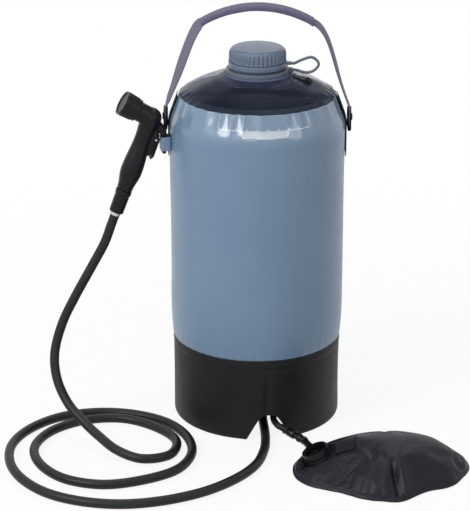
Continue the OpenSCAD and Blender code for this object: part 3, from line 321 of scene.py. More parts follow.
# %% Tank wall
TANK_R, SEAM_Z, SWELL_H, SEAM_IN = 111.5, 110.0, 60.0, 2.7
SHOULDER_Z, SHOULDER_BEND, SHOULDER_RISE = 391.0, 45.0, 24.1
LEAN = math.radians(20)
BEND_TOP_Z = SHOULDER_Z + SHOULDER_BEND * math.sin(LEAN)
BEND_TOP_R = TANK_R - SHOULDER_BEND * (1 - math.cos(LEAN))
WINDOW_Z = BEND_TOP_Z + SHOULDER_RISE
WINDOW_R = BEND_TOP_R - SHOULDER_RISE * math.tan(LEAN)


def tank_radius(z):
    """Parabola from the seam, straight side, round bend, then a straight leaning shoulder."""
    swell = TANK_R - SEAM_IN * (1 - np.clip((z - SEAM_Z) / SWELL_H, 0, 1)) ** 2
    bend_z = np.clip(z - SHOULDER_Z, 0, BEND_TOP_Z - SHOULDER_Z)
    bend = SHOULDER_BEND - np.sqrt(SHOULDER_BEND ** 2 - bend_z ** 2)
    return swell - bend - np.clip(z - BEND_TOP_Z, 0, None) * math.tan(LEAN)


def folds(turn):
    """Waves round the tank whose phase wanders and whose height changes slowly."""
    wander = turn + 0.05 * np.sin(3 * turn + 1.1) + 0.04 * np.sin(7 * turn + 0.4)
    height = 0.62 + 0.38 * np.sin(5 * turn + 0.8) * np.sin(2 * turn + 2.0)
    return height * np.abs(np.sin(17 * wander)) ** 0.8


FOLD_DEPTH, CLOTH_T = 3.0, 1.2
around = np.linspace(0, 2 * np.pi, 481)
wall_z = np.concatenate([np.linspace(SEAM_Z + 0.2, 122, 8), np.linspace(125, 380, 40),
                         np.linspace(383, WINDOW_Z, 34)])[:, None]
gather = FOLD_DEPTH * folds(around) * rise(wall_z, 396, WINDOW_Z - 2)
up_the_side = np.sin(np.pi * np.clip((wall_z - 120) / 270, 0, 1))
mid_side = rise(wall_z, 130, 200) * (1 - rise(wall_z, 330, 390))
slack = 0.5 * (1 + np.sin(2 * around + 0.6)) * up_the_side
slack = slack + 0.25 * (1 + np.sin(5 * around + wall_z / 45)) * mid_side
pucker = 0.25 * (1 + np.sin(52 * around + 2 * np.sin(3 * around))) * (1 - rise(wall_z, 112, 128))
wall_r = tank_radius(wall_z) - gather - slack - pucker
tank_skin = piece("tank_skin", [polar(wall_r, around, wall_z)], "tank", "tank_fabric", wall=CLOTH_T)
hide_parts("tank_wall")

# %% [markdown]
# The window is a clear film, bulged like a shallow dome between the shoulder and the neck.
# Near its edge it takes part in the folds. A narrow band shows where it is welded.

# %% Window and weld
DOME_CURVE, DOME_LEAN, NECK_BASE_R = 175.0, math.radians(35), 42.0
FILM_T, WELD_W, WELD_OUT = 0.5, 6.5, 0.75
DOME_R0 = WINDOW_R - DOME_CURVE * math.sin(DOME_LEAN)
DOME_Z0 = WINDOW_Z - DOME_CURVE * math.cos(DOME_LEAN)


def dome_height(r, out=0.0):
    """Arc of a circle about a point near the axis, at an offset from the film."""
    return DOME_Z0 + np.sqrt((DOME_CURVE + out) ** 2 - (r - DOME_R0) ** 2)


def dome_grid(r, turn, out=0.0):
    """Dome over radii and turns; towards the edge the radius shrinks by the folds."""
    r = np.asarray(r, float)[:, None]
    pull = FOLD_DEPTH * folds(turn) * rise(r, 80, WINDOW_R)
    ripple = 0.35 * np.sin(9 * turn + 1.3) * rise(r, 45, 60) * (1 - rise(r, 80, 98))
    height = dome_height(r, out) + ripple
    return polar(r - pull, turn, height)


film = piece("window_film", [dome_grid(np.linspace(NECK_BASE_R, WINDOW_R, 34), around)],
             "tank", "clear_film", wall=FILM_T)
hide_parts("tank_window")
weld = piece("weld_band", [dome_grid(np.linspace(WINDOW_R - WELD_W, WINDOW_R, 9), around, WELD_OUT)],
             "tank", "weld_film", wall=FILM_T)
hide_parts("window_weld")
NECK_Z = float(dome_height(NECK_BASE_R))
print("neck starts at", round(NECK_Z, 2))

# %% [markdown]
# The base looks like heavy black welded fabric: a low ridge runs round under the seam, a
# crease stands over the notch, and the notch has slanting sides, soft upper corners and
# lower corners that flare. A boolean cut would leave a ragged edge, so the lower edge of the
# grid itself follows the notch, and the wall gets its thickness afterwards.

# %% Base skirt
NOTCH_TURN = math.radians(9 - 90)
NOTCH_W, NOTCH_TOP_W, NOTCH_H, NOTCH_SOFT = 58.0, 22.0, 33.0, 5.0
SKIRT_T, FLOOR_T, LEDGE_W, LEDGE_T, LEDGE_H = 3.4, 3.5, 13.0, 3.5, 10.0
near_notch = np.linspace(-0.5, 0.5, 161)
far_round = np.linspace(0.52, 2 * np.pi - 0.52, 180)
skirt_turn = NOTCH_TURN + np.concatenate([near_notch, far_round, [2 * np.pi - 0.5]])
in_notch = np.cos(skirt_turn - NOTCH_TURN) > 0.5
aside = BASE_R * np.sin(skirt_turn - NOTCH_TURN) * in_notch
slant = (NOTCH_W / 2 - np.abs(aside)) * NOTCH_H / ((NOTCH_W - NOTCH_TOP_W) / 2)
notch_top = -NOTCH_SOFT * np.logaddexp(-slant / NOTCH_SOFT, -NOTCH_H / NOTCH_SOFT)
low_edge = np.where(in_notch, np.clip(notch_top, 0, None), 0.0)
share = np.concatenate([[0, 0.01, 0.03, 0.06], np.linspace(0.1, 0.9, 34), [0.93, 0.96, 0.98, 1]])
skirt_z = low_edge + (SEAM_Z - low_edge) * share[:, None]
from_edge = skirt_z - low_edge
ridge = 0.9 * np.exp(-((skirt_z - 101) / 1.8) ** 2) - 0.5 * np.exp(-((skirt_z - 97) / 2.2) ** 2)
crease_at = aside + 3.5 - 0.04 * (skirt_z - 40)
crease_span = rise(skirt_z, 33, 44) * (1 - rise(skirt_z, 66, 96)) * in_notch
crease = 1.7 * np.exp(-(crease_at / 4.5) ** 2) * crease_span
flare = 1.2 * np.exp(-from_edge / 5) * np.exp(-((np.abs(aside) - 27) / 9) ** 2) * in_notch
lower_round = 2.2 * (1 - np.sqrt(np.clip(1 - (1 - np.clip(from_edge / 3, 0, 1)) ** 2, 0, 1)))
sway = 0.4 * (1 + np.sin(3 * skirt_turn + 0.5)) * rise(skirt_z, 8, 40) * (1 - rise(skirt_z, 70, 95))
skirt_r = BASE_R + ridge - crease + flare - sway - lower_round
skirt = piece("skirt_skin", [polar(skirt_r, skirt_turn, skirt_z)], "tank", "base_plastic", wall=SKIRT_T)
FLOOR_LOW = SEAM_Z - FLOOR_T
inner_r = BASE_R - 4
ledge_line = [(inner_r + 0.5, FLOOR_LOW - 0.1), (inner_r - LEDGE_W, FLOOR_LOW - 0.1),
              (inner_r - LEDGE_W, FLOOR_LOW - LEDGE_T), (inner_r, FLOOR_LOW - LEDGE_H),
              (inner_r + 0.5, FLOOR_LOW - 0.1)]
piece("skirt_ledge", [turned(ledge_line, 120)], "tank", "base_plastic")
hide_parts("base_skirt")

# %% [markdown]
# The screw cap has forty rounded flutes that fade out over its shoulder, and a slightly
# domed top. Cutting forty grooves is slow, and one wave in the turned radius does the same.

# %% Filler cap
CAP_LOW = NECK_Z + 9
CAP_TOP = NECK_Z + 34.5
NECK_TOP = NECK_Z + 26
RIB_LOW = CAP_LOW + 7.3
CAP_R, CAP_ROUND, CAP_DOME, CAP_RIBS, FLUTE_DEPTH = 35.8, 8.0, 0.9, 40, 1.9
edge = np.radians(np.linspace(0, 90, 12))
side_top = CAP_TOP - CAP_DOME - CAP_ROUND
shoulder = stacked(CAP_R - CAP_ROUND + CAP_ROUND * np.cos(edge), side_top + CAP_ROUND * np.sin(edge))
crown_r = np.linspace(CAP_R - CAP_ROUND - 1.5, 0, 10)
crown = stacked(crown_r, CAP_TOP - CAP_DOME * (crown_r / crown_r[0]) ** 2)
side_z = np.linspace(RIB_LOW + 1.2, side_top, 8)
cap_line = np.concatenate([
    [(0, NECK_TOP + 2.3), (31.0, NECK_TOP + 2.3), (31.4, NECK_TOP + 1.9), (31.4, CAP_LOW + 0.6),
     (31.7, CAP_LOW + 0.3), (32.7, CAP_LOW + 0.3), (33.0, CAP_LOW + 0.6), (33.0, RIB_LOW + 0.02),
     (34.6, RIB_LOW + 0.05), (35.3, RIB_LOW + 0.4)],
    stacked(CAP_R, side_z), shoulder[1:], crown])
line_r, line_z = cap_line.T
flute_share = rise(line_z, RIB_LOW + 0.1, RIB_LOW + 1.5) * (1 - rise(line_z, CAP_TOP - 7, CAP_TOP - 2.2))
flute_share = (flute_share * (line_r > 33.2))[:, None]
cap_turn = np.linspace(0, 2 * np.pi, CAP_RIBS * 10 + 1)
flute = FLUTE_DEPTH * flute_share * np.abs(np.sin(CAP_RIBS / 2 * cap_turn)) ** 1.2
cap_grid = turned(cap_line, CAP_RIBS * 10) - polar(flute, cap_turn, 0.0)
cap = piece("cap_shell", [cap_grid], "cap", "slate_plastic")
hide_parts("filler_cap")

# %% [markdown]
# Under the cap, the neck carries a screw thread: a small rounded ridge on a helix.

# %% Neck thread
THREAD_R, THREAD_PITCH, THREAD_TURNS, THREAD_STEPS = 30.0, 6.0, 2.2, 160
thread_step = np.arange(THREAD_STEPS)
thread_turn = np.linspace(0, 2 * np.pi * THREAD_TURNS, THREAD_STEPS)
thread_path = polar(THREAD_R, thread_turn, CAP_LOW + 1.5 + THREAD_PITCH * thread_turn / (2 * np.pi))
fade_out = 1 - rise(thread_step, THREAD_STEPS - 13, THREAD_STEPS - 1)
fade = np.minimum(rise(thread_step, 0, 12), fade_out) + 0.02
piece("neck_thread", [carried(thread_path, oval(1.0, 1.3, 1, 10), -thread_path * [1, 1, 0], fade)],
      "tank", "slate_plastic")

# %% [markdown]
# The tether is a thin strip from the neck's collar round to the ring under the cap.

# %% Tether
COLLAR_MID = NECK_Z + 1 + 5.5 / 2
SWIVEL_MID = CAP_LOW + 3.5
tether_xz = [(43.6, COLLAR_MID), (48, COLLAR_MID), (61, NECK_Z + 0.4), (71, NECK_Z + 3.4),
             (76.5, NECK_Z + 12), (68, NECK_Z + 20), (56, NECK_Z + 17), (46.3, SWIVEL_MID),
             (42.1, SWIVEL_MID)]
tether_path = smooth_path([(x, 0.0, z) for x, z in tether_xz], 8)
tether = piece("tether_strip", [carried(tether_path, oval(2.6, 1.55, 0.5, 20), (0, 1, 0))],
               None, "grey_plastic")
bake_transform(tether)
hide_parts("cap_tether")

# %% [markdown]
# A small black tab is welded on the dome beside the neck, with a folded free end.

# %% Dome tab
tab_r = np.concatenate([np.linspace(46, 68, 12), np.linspace(68.5, 62, 8)])
tab_lift = np.concatenate([np.linspace(1.2, 1.5, 12), 1.5 + 1.6 * np.sin(np.linspace(0.3, 1.9, 8))])
tab_turn = np.radians(np.linspace(-20, -8, 9))
tab_grid = polar(tab_r[:, None], tab_turn, (dome_height(tab_r) + tab_lift)[:, None])
dome_tab = piece("dome_tab_fold", [tab_grid], "tank", "black_tape", wall=0.9)
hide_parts("dome_tab")

# %% [markdown]
# The handle is one length of webbing, arched over the cap and riveted between folded anchors
# at its ends. Webbing keeps its width but twists: both straps turn a little on their way
# up, the left one more. So the outline stays the same and only its side direction turns.

# %% Handle webbing
PIVOT_Z = SHOULDER_Z + 9
GRIP_Z, GRIP_CURVE, GRIP_HALF = CAP_TOP + 49.5, 134.0, math.radians(31)
TAPE_T, LEAF_T, WEB_T, GAP = 1.5, 1.3, 1.8, 0.3
WEB_HALF, TAIL = 12.5, 12.4
LEAF_X = TANK_R + TAPE_T + 0.15
WEB_X = LEAF_X + LEAF_T + GAP + WEB_T / 2


def on_arch(bow):
    """Places across and up on the grip's arch, at an angle from its top."""
    return stacked(GRIP_CURVE * np.sin(bow), GRIP_Z - GRIP_CURVE * (1 - np.cos(bow)))


arch_end = on_arch(GRIP_HALF)
strap_end = np.array([WEB_X, PIVOT_Z + 14])
pull = unit((arch_end - strap_end) * [1, 1.05])
controls = [arch_end, arch_end + 13 * np.array([math.cos(GRIP_HALF), -math.sin(GRIP_HALF)]),
            strap_end + 60 * pull, strap_end]
t = np.linspace(0, 1, 40)[:, None]
strap = ((1 - t) ** 3 * controls[0] + 3 * t * (1 - t) ** 2 * controls[1]
         + 3 * t ** 2 * (1 - t) * controls[2] + t ** 3 * controls[3])
tail = stacked(WEB_X, np.linspace(PIVOT_Z + 13, PIVOT_Z - TAIL, 26))
right = np.concatenate([strap[1:], tail])
arch = on_arch(np.linspace(-GRIP_HALF, GRIP_HALF, 41))
handle_xz = np.concatenate([right[::-1] * [-1, 1], arch, right])
handle_path = stacked(handle_xz[:, 0], 0.0, handle_xz[:, 1])
down_strap = np.clip((arch_end[1] - handle_path[:, 2]) / (arch_end[1] - strap_end[1]), 0, 1)
bulge = np.sin(np.pi * down_strap ** 0.6) * (1 - down_strap)
handle_path[:, 0] += np.where(handle_path[:, 0] > 0, 6.5, -1.5) * bulge
handle_x, _, handle_z = handle_path.T
outward = np.cross(unit(np.gradient(handle_path, axis=0)), [0, 1.0, 0])
past_grip = rise(np.abs(handle_x), 62, 76)
free = rise(handle_z, PIVOT_Z + 18, PIVOT_Z + 75) * past_grip
above_fold = rise(handle_z, PIVOT_Z + 14, PIVOT_Z + 24) * past_grip
on_left = handle_x < 0
twist = np.radians(np.where(on_left, -13, -6) * free + np.where(on_left, -8, 0) * above_fold)
web_side = np.cos(twist)[:, None] * [0, 1.0, 0] - np.sin(twist)[:, None] * outward
round_end = np.sqrt(np.clip(1 - (np.clip(PIVOT_Z - handle_z, 0, TAIL) / WEB_HALF) ** 2, 0.01, 1))
web_outline = oval(WEB_HALF, 0.85, 0.22, 28)
webbing = piece("handle_web", [carried(handle_path, web_outline, web_side, stacked(round_end, 1.0))],
                "handle", "webbing")
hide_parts("handle_webbing")

# %% [markdown]
# The grip is a padded sleeve round the arch. Its edges roll down a little and its ends
# gape like cut cloth, so the outline grows and thins along the way.

# %% Handle grip
GRIP_WIDE, GRIP_THICK, GRIP_UP = 13.6, 2.8, 0.8
grip_bow = np.linspace(-GRIP_HALF, GRIP_HALF, 61)
grip_x, grip_z = on_arch(grip_bow).T
grip_path = stacked(grip_x, 0.0, grip_z + GRIP_UP)
end_near = np.clip((GRIP_HALF - np.abs(grip_bow)) / GRIP_HALF, 0, 1)
grip_wide = GRIP_WIDE + 0.9 * np.exp(-end_near / 0.05) + 0.15 * np.sin(grip_bow * 23)
grip_thick = (GRIP_THICK + 0.5 * np.exp(-end_near / 0.04) + 0.25 * np.sin(np.pi * end_near)
              + 0.08 * np.sin(grip_bow * 31 + 1))


def sleeve(square, size):
    """One layer of the sleeve, which droops by the cube of the distance from its middle."""
    layer = carried(grip_path, oval(1, 1, square, 36), (0, 1, 0), size, shut=False)
    layer[..., 2] -= 0.9 * (np.abs(layer[..., 1]) / GRIP_WIDE) ** 3
    return layer


grip_outer = sleeve(0.42, stacked(grip_wide, grip_thick))
grip_inner = sleeve(0.3, [[13.0, 1.25]])
lips = [np.stack([grip_outer[end], grip_inner[end]]) for end in (0, -1)]
grip = piece("grip_sleeve", [grip_outer, grip_inner] + lips, "handle", "grip_fabric")
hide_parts("handle_grip")

# %% [markdown]
# Stitches are tiny raised beads. One bead of a few faces is copied to each place with numpy,
# which is lighter than real thread loops and reads the same at arm's length.

# %% Stitches
BEAD_GIRTH = 0.4


def stitches(name, places, along, out, body, finish, length):
    """Small spindles: a hexagon swept over five rings whose radius follows a half sine."""
    places, along, out = (np.asarray(a, float) for a in (places, along, out))
    along = unit(along)
    out = unit(out - (out * along).sum(axis=1, keepdims=True) * along)
    side = np.cross(along, out)
    ring = np.linspace(0, 2 * np.pi, 7)
    step = np.linspace(-0.5, 0.5, 5)
    swell = np.maximum(np.sin(np.pi * (step + 0.5)), 0.02) * BEAD_GIRTH
    beads = (places[:, None, None] + along[:, None, None] * (step * length)[None, :, None, None]
             + (out[:, None, None] * np.cos(ring)[None, None, :, None]
                + side[:, None, None] * np.sin(ring)[None, None, :, None]) * swell[None, :, None, None])
    return piece(name, list(beads), body, finish)


seam_bow = np.linspace(-GRIP_HALF * 0.96, GRIP_HALF * 0.96, 42)
seam_x, seam_z = on_arch(seam_bow).T
normal = stacked(np.sin(seam_bow), 0.0, np.cos(seam_bow))
seam_along = stacked(np.cos(seam_bow), 0.0, -np.sin(seam_bow))
front_row = stacked(seam_x, -11.2, seam_z) + normal * 3.1
back_row = front_row * [1, -1, 1]
stitches("grip_stitches", np.concatenate([front_row, back_row]), np.concatenate([seam_along] * 2),
         np.concatenate([normal] * 2), "handle", "grip_fabric", 3.0)

# %% [markdown]
# A tape is welded up each side of the tank, and a strip folded like a hairpin sits on it and
# holds the webbing. The tape is a patch of the tank's own surface, moved out by its
# thickness. The hairpin is a flat outline carried down, round and up again.

# %% Anchors
TAPE_HALF, LEAF_HALF, SHOWN_T, STITCH_OUT, ROW_Y = 14.0, 13.5, 1.0, 1.3, 11.0
TAPE_FOOT = SHOULDER_Z - 36.0
tape_z = np.linspace(SHOULDER_Z - 39, WINDOW_Z - 1, 40)[:, None]
half_tape = math.asin(TAPE_HALF / TANK_R)
patch_turn = np.linspace(-half_tape, half_tape, 13)
fold_down = np.linspace(13.4, -12.5, 24)
bend = np.radians(np.linspace(0, 180, 12))
fold_x = LEAF_X + LEAF_T / 2
fold_depth = LEAF_T + GAP + WEB_T + GAP
hairpin = np.concatenate([
    stacked(fold_x, PIVOT_Z + fold_down),
    stacked(fold_x + fold_depth / 2 * (1 - np.cos(bend)),
            PIVOT_Z - 12.8 - fold_depth / 2 * np.sin(bend)),
    stacked(fold_x + fold_depth, PIVOT_Z + fold_down[::-1])])
hairpin = stacked(hairpin[:, 0], 0.0, hairpin[:, 1])
leaf_round = np.sqrt(np.clip(1 - (np.clip(hairpin[:, 2] - PIVOT_Z, 0, 13.4) / LEAF_HALF) ** 2, 0.01, 1))
fold_grid = carried(hairpin, oval(LEAF_HALF, 0.62, 0.25, 24), (0, 1, 0), stacked(leaf_round, 1.0))
row_z = np.linspace(PIVOT_Z - 14.6, TAPE_FOOT, 12)
foot_y = np.linspace(-ROW_Y, ROW_Y, 9)


def on_tape(y, z):
    """Places on the right tape's face, at a distance from its middle and a height."""
    return stacked(np.sqrt((tank_radius(z) + STITCH_OUT) ** 2 - y ** 2), y, z)


seams = np.concatenate([on_tape(-ROW_Y, row_z), on_tape(ROW_Y, row_z), on_tape(foot_y, TAPE_FOOT)])
seams_along = np.concatenate([np.tile([0, 0, 1.0], (24, 1)), np.tile([0, 1.0, 0], (9, 1))])
for side_name, sign in (("left", -1), ("right", 1)):
    mirror = [sign, 1, 1]
    tape_grid = polar(tank_radius(tape_z) + 0.35, patch_turn, tape_z) * mirror
    tape_face = tape_grid + SHOWN_T * unit(tape_grid * [1, 1, 0])
    tape = piece("tape_" + side_name, slab(tape_grid, tape_face), "tank", "black_tape")
    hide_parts("anchor_tape_" + side_name)
    fold = piece("fold_" + side_name, [fold_grid * mirror], "tank", "black_tape")
    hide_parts("anchor_fold_" + side_name)
    places = seams * mirror
    stitches("tape_stitches_" + side_name, places, seams_along, places * [1, 1, 0],
             "tank", "black_tape", 2.8)

# %% [markdown]
# The handset hangs by a hook in a loop of webbing on the tank's left. The loop is a flat strip
# that stands out from the wall and turns two tight corners.

# %% Handset loop
LOOP_HALF, LOOP_ROUND, LOOP_X, LOOP_Z = 7.7, 2.7, 123.5 + 0.7, 373.0
reach = math.sqrt(TANK_R ** 2 - LOOP_HALF ** 2) + 0.1
corner_turn = np.radians(np.linspace(90, 0, 8))
near_corner = stacked(LOOP_X - LOOP_ROUND + LOOP_ROUND * np.cos(corner_turn),
                      -(LOOP_HALF - LOOP_ROUND + LOOP_ROUND * np.sin(corner_turn)))
near_side = np.concatenate([stacked(reach + np.array([0.0, 4.0, 8.0]), -LOOP_HALF), near_corner])
loop_xy = np.concatenate([near_side, [(LOOP_X, 0)], near_side[::-1] * [1, -1]])
loop_path = around_tank(stacked(-loop_xy[:, 0], loop_xy[:, 1], LOOP_Z))
loop = piece("hook_loop", [carried(loop_path, oval(9, 0.65, 0.25, 20), (0, 0, 1))],
             "tank", "tank_fabric")
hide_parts("handset_loop")

# %% [markdown]
# The handset is one smooth moulding: a grip that narrows at the waist and swells for the
# palm, an elbow and a head tube. Each is turned on its own axis, and a fine remesh with a
# little smoothing then melts them together, as a mould maker's fillets do.

# %% Handset shell
def on_axis(profile, direction):
    """Turned profile of radius and distance, stood on an axis through the elbow."""
    local = turned(profile, 48)
    direction = unit(np.asarray(direction, float))
    across = np.array([0, 1.0, 0])
    other = np.cross(across, direction)
    return around_tank(ELBOW + local[..., :1] * other + local[..., 1:2] * across
                       + local[..., 2:] * direction)


def eased(a, b, f):
    """From a to b along half a cosine."""
    return a + (b - a) * (1 - np.cos(np.pi * np.clip(f, 0, 1))) / 2


GRIP_LEN, WAIST_AT, PALM_AT = 99.0, 28.0, 72.0
TOP_R, WAIST_R, PALM_R, FOOT_R = 12.6, 11.0, 13.8, 9.8
SPIGOT_R, SPIGOT_END = 6.5, GRIP_LEN + 13
down = np.linspace(0, GRIP_LEN, 34)
to_palm = eased(WAIST_R, PALM_R, (down - WAIST_AT) / (PALM_AT - WAIST_AT))
to_foot = eased(PALM_R, FOOT_R, (down - PALM_AT) / (GRIP_LEN - PALM_AT))
grip_r = np.where(down < WAIST_AT, eased(TOP_R, WAIST_R, down / WAIST_AT),
                  np.where(down < PALM_AT, to_palm, to_foot))
grip_profile = np.concatenate([[(0, 0)], stacked(grip_r, down),
                               [(SPIGOT_R, GRIP_LEN), (SPIGOT_R, SPIGOT_END), (0, SPIGOT_END)]])
head_profile = [(0, -2), (12.5, 0), (12.5, 19.2), (12, 19.7), (11, 19.7), (11, 34), (0, 34)]
down_way = (-math.sin(GRIP_LEAN), 0, -math.cos(GRIP_LEAN))
head_way = (-math.cos(HEAD_RISE), 0, math.sin(HEAD_RISE))
ball = np.radians(np.linspace(-90, 90, 17))
ball_profile = 13.5 * stacked(np.cos(ball), np.sin(ball))
hook_xz = [(-137, 400), (-132, 397.2), (-126.6, 393.6), (-122, 389), (-120.2, 383), (-120, 375),
           (-120, 366), (-120, 358.6)]
hook_path = smooth_path([(x, 0.0, z) for x, z in hook_xz], 5)
hook_thick = np.interp(np.arange(len(hook_path)), np.arange(8) * 5, [2.7, 2.6, 2.4, 1.8, 1.2, 1, 1, 1])
hook_size = stacked(1.0, hook_thick)
hook_size[-3:] *= np.array([[0.97], [0.8], [0.45]])
hook_grid = around_tank(carried(hook_path, oval(5, 2.9, 0.55, 24), (0, 1, 0), hook_size))
shell = piece("handset_shell", [on_axis(grip_profile, down_way), on_axis(head_profile, head_way),
                                on_axis(ball_profile, head_way), hook_grid], "handset", "black_plastic")
melt = shell.modifiers.new("melt", "REMESH")
melt.mode = "VOXEL"
melt.voxel_size = 0.0008
melt.use_smooth_shade = True
ease = shell.modifiers.new("ease", "SMOOTH")
ease.factor = 0.5
ease.iterations = 5
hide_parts("handset_body")

# %% [markdown]
# Two thin cheeks stand beside the thumb lever. Each is one smooth outline on the grip's own
# axes, repeated at six levels: it shrinks a little at the rims, which rounds them, and to its
# middle at both faces.

# %% Lever cheeks
def grip_frame(points):
    """Places given out at the grip's back, across and up its axis, in the part's frame."""
    points = np.asarray(points, float)
    back = np.array([math.cos(GRIP_LEAN), 0, -math.sin(GRIP_LEAN)])
    up = np.array([math.sin(GRIP_LEAN), 0, math.cos(GRIP_LEAN)])
    return around_tank(ELBOW + points[..., :1] * back + points[..., 1:2] * [0, 1, 0]
                       + points[..., 2:] * up)


cheek_corners = [(4, -12.5), (10, -12), (14.3, -13.5), (16.6, -17.5), (17.1, -24.5), (17.1, -33),
                 (17, -40.5), (15.6, -43.8), (10, -47.3), (4, -51), (2, -45), (1.5, -35), (2, -22),
                 (4, -12.5)]
cheek_line = smooth_path(cheek_corners, 4)
cheek_centre = np.array([9.0, -33.0])
cheek_levels = np.array([(0, 0.0), (0.95, 0.0), (1, 0.35), (1, 1.85), (0.95, 2.2), (0, 2.2)])
cheek_rings = cheek_centre + cheek_levels[:, None, :1] * (cheek_line - cheek_centre)
cheeks = [grip_frame(stacked(cheek_rings[..., 0], first + cheek_levels[:, 1:], cheek_rings[..., 1]))
          for first in (-7.5, 5.3)]
piece("lever_cheeks", cheeks, "handset", "black_plastic")

# %% [markdown]
# A small steel spring sits round the valve's stem and pushes the lever back. It is a helix on
# the valve's axis.

# %% Valve spring
VALVE_DOWN, SPRING_SEAT, STEM_HEAD, PUSH = 37.0, 6.0, 14.0, 1.5
COIL_R, COIL_TURNS, WIRE_R = 3.1, 5, 0.4
coil_turn = np.linspace(0, COIL_TURNS * 2 * np.pi, 121)
coil_out = np.linspace(SPRING_SEAT + 0.5, STEM_HEAD - 0.5, 121)
coil_path = grip_frame(stacked(coil_out, COIL_R * np.sin(coil_turn),
                               -VALVE_DOWN - COIL_R * np.cos(coil_turn)))
spring_axis = unit(grip_frame([1.0, 0, 0]) - grip_frame([0.0, 0, 0]))
spring = piece("valve_spring", [carried(coil_path, oval(WIRE_R, WIRE_R, 1, 10), spring_axis)],
               "handset", "steel")
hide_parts("trigger_spring")
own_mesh(spring)

# %% [markdown]
# The foot pump is a black pillow welded flat at its rim, with a springy core. The picture
# fixes its large folds one by one, so they are written into the height: a deep valley at the
# front with a ridge beside it, and pinches at the corners. The small wrinkles between them
# come from a cloth simulation: the upper skin has a little too much length, is blown out from
# below and is held at the rim, on the crown, round the intake and under the tab.

# %% Cloth that settles
def settled(grid, held, slack, pressure, frames, cap):
    """Steps by which the points of a round sheet move in a cloth simulation, none of them
    longer than the cap. Each spring wants to be longer by the slack, and held points stay."""
    ring = grid[:, :-1]
    index = np.arange(ring.shape[0] * ring.shape[1]).reshape(ring.shape[:2])
    beside = np.roll(index, -1, axis=1)
    quads = np.stack([index[:-1], beside[:-1], beside[1:], index[1:]], axis=-1).reshape(-1, 4)
    mesh = bpy.data.meshes.new("settling")
    mesh.from_pydata((ring.reshape(-1, 3) * MM).tolist(), [], quads.tolist())
    sheet = bpy.data.objects.new("settling", mesh)
    collection.objects.link(sheet)
    pins = sheet.vertex_groups.new(name="held")
    pins.add(np.flatnonzero(held[:, :-1]).tolist(), 1.0, "REPLACE")
    cloth = sheet.modifiers.new("cloth", "CLOTH")
    stuff = {"quality": 8, "mass": 0.2, "tension_stiffness": 40, "compression_stiffness": 40,
             "shear_stiffness": 15, "bending_stiffness": 0.8, "vertex_group_mass": "held",
             "shrink_min": -slack, "use_pressure": True, "uniform_pressure_force": pressure}
    for setting, value in stuff.items():
        setattr(cloth.settings, setting, value)
    cloth.settings.effector_weights.gravity = 0
    cloth.collision_settings.use_collision = False
    for number in range(1, frames + 1):
        scene.frame_set(number)
    solved = sheet.evaluated_get(bpy.context.evaluated_depsgraph_get()).to_mesh()
    moved = np.empty(ring.size, np.float32)
    solved.vertices.foreach_get("co", moved)
    step = moved.reshape(ring.shape) / MM - ring
    bpy.data.objects.remove(sheet)
    scene.frame_set(1)
    length = np.linalg.norm(step, axis=2, keepdims=True)
    print("cloth moved up to", round(float(length.max()), 1), "mm")
    step = step * np.minimum(1, cap / np.maximum(length, 1e-6))
    return np.concatenate([step, step[:, :1]], axis=1)


# %% Pump pillow
PUMP_XY = np.array([157.0, -BASE_R - 92])
PUMP_A, PUMP_B, PUMP_SQUARE, PUMP_H, PUMP_SEAM = 109.0, 75.0, 2.25, 46.5, 5.0
INTAKE_XY = PUMP_XY + [-81, 1]
POCKET_R, POCKET_RIM, POCKET_DEEP, POCKET_FLOOR = 13.5, 16.5, 24.0, 3.5
TAB_MIDDLE, TAB_HOLD = np.array([-48, 2]), np.array([13, 17])
INTAKE_HOLD, TOP_ROWS = 23, 60
# Each nip has a direction, a half width and a share by which it draws the outline in
NIPS = [(-136, 24, 0.165), (-43, 24, 0.23), (-10, 14, 0.09), (-79, 9, -0.05), (27, 12, -0.03)]
# Each valley has a direction, a half width, a depth, a start and a sharpness. A ridge has a
# depth below nought
VALLEYS = [(-78, 6, 10.5, 0.4, 1.2), (-69, 5, -4.0, 0.4, 2.0), (-90, 6, -1.5, 0.5, 2.0),
           (-2, 6, 5.0, 0.7, 1.2), (-141, 10, 4.5, 0.55, 1.4), (-24, 9, 3.0, 0.62, 2.0),
           (24, 9, 3.0, 0.6, 2.0), (84, 5, 3.0, 0.3, 1.4)]


def away(turn, centre):
    """Angle from a direction, in degrees between -180 and 180."""
    return (np.degrees(turn) - centre + 540) % 360 - 180


def pump_edge(turn):
    """Boxy oval, drawn in by bell-shaped shares at three directions and let out at two."""
    boxy = ((np.abs(np.cos(turn)) / PUMP_A) ** PUMP_SQUARE
            + (np.abs(np.sin(turn)) / PUMP_B) ** PUMP_SQUARE)
    nip = sum(share * np.exp(-(away(turn, at) / half) ** 2) for at, half, share in NIPS)
    return boxy ** (-1 / PUMP_SQUARE) * (1 - nip)


def valley(f, turn, at, half, depth, inner, sharp):
    """Groove along one direction that starts at a share of the way out. Its depth falls off as
    the exponential of minus the angle over the half width, to a power: two is a bell, one a cut."""
    half = half * (0.45 + 0.55 * f)
    across = depth * np.exp(-np.abs(away(turn, at) / half) ** sharp)
    return across * rise(f, inner, min(inner + 0.3, 0.95)) * (1 - rise(f, 0.93, 1.0))


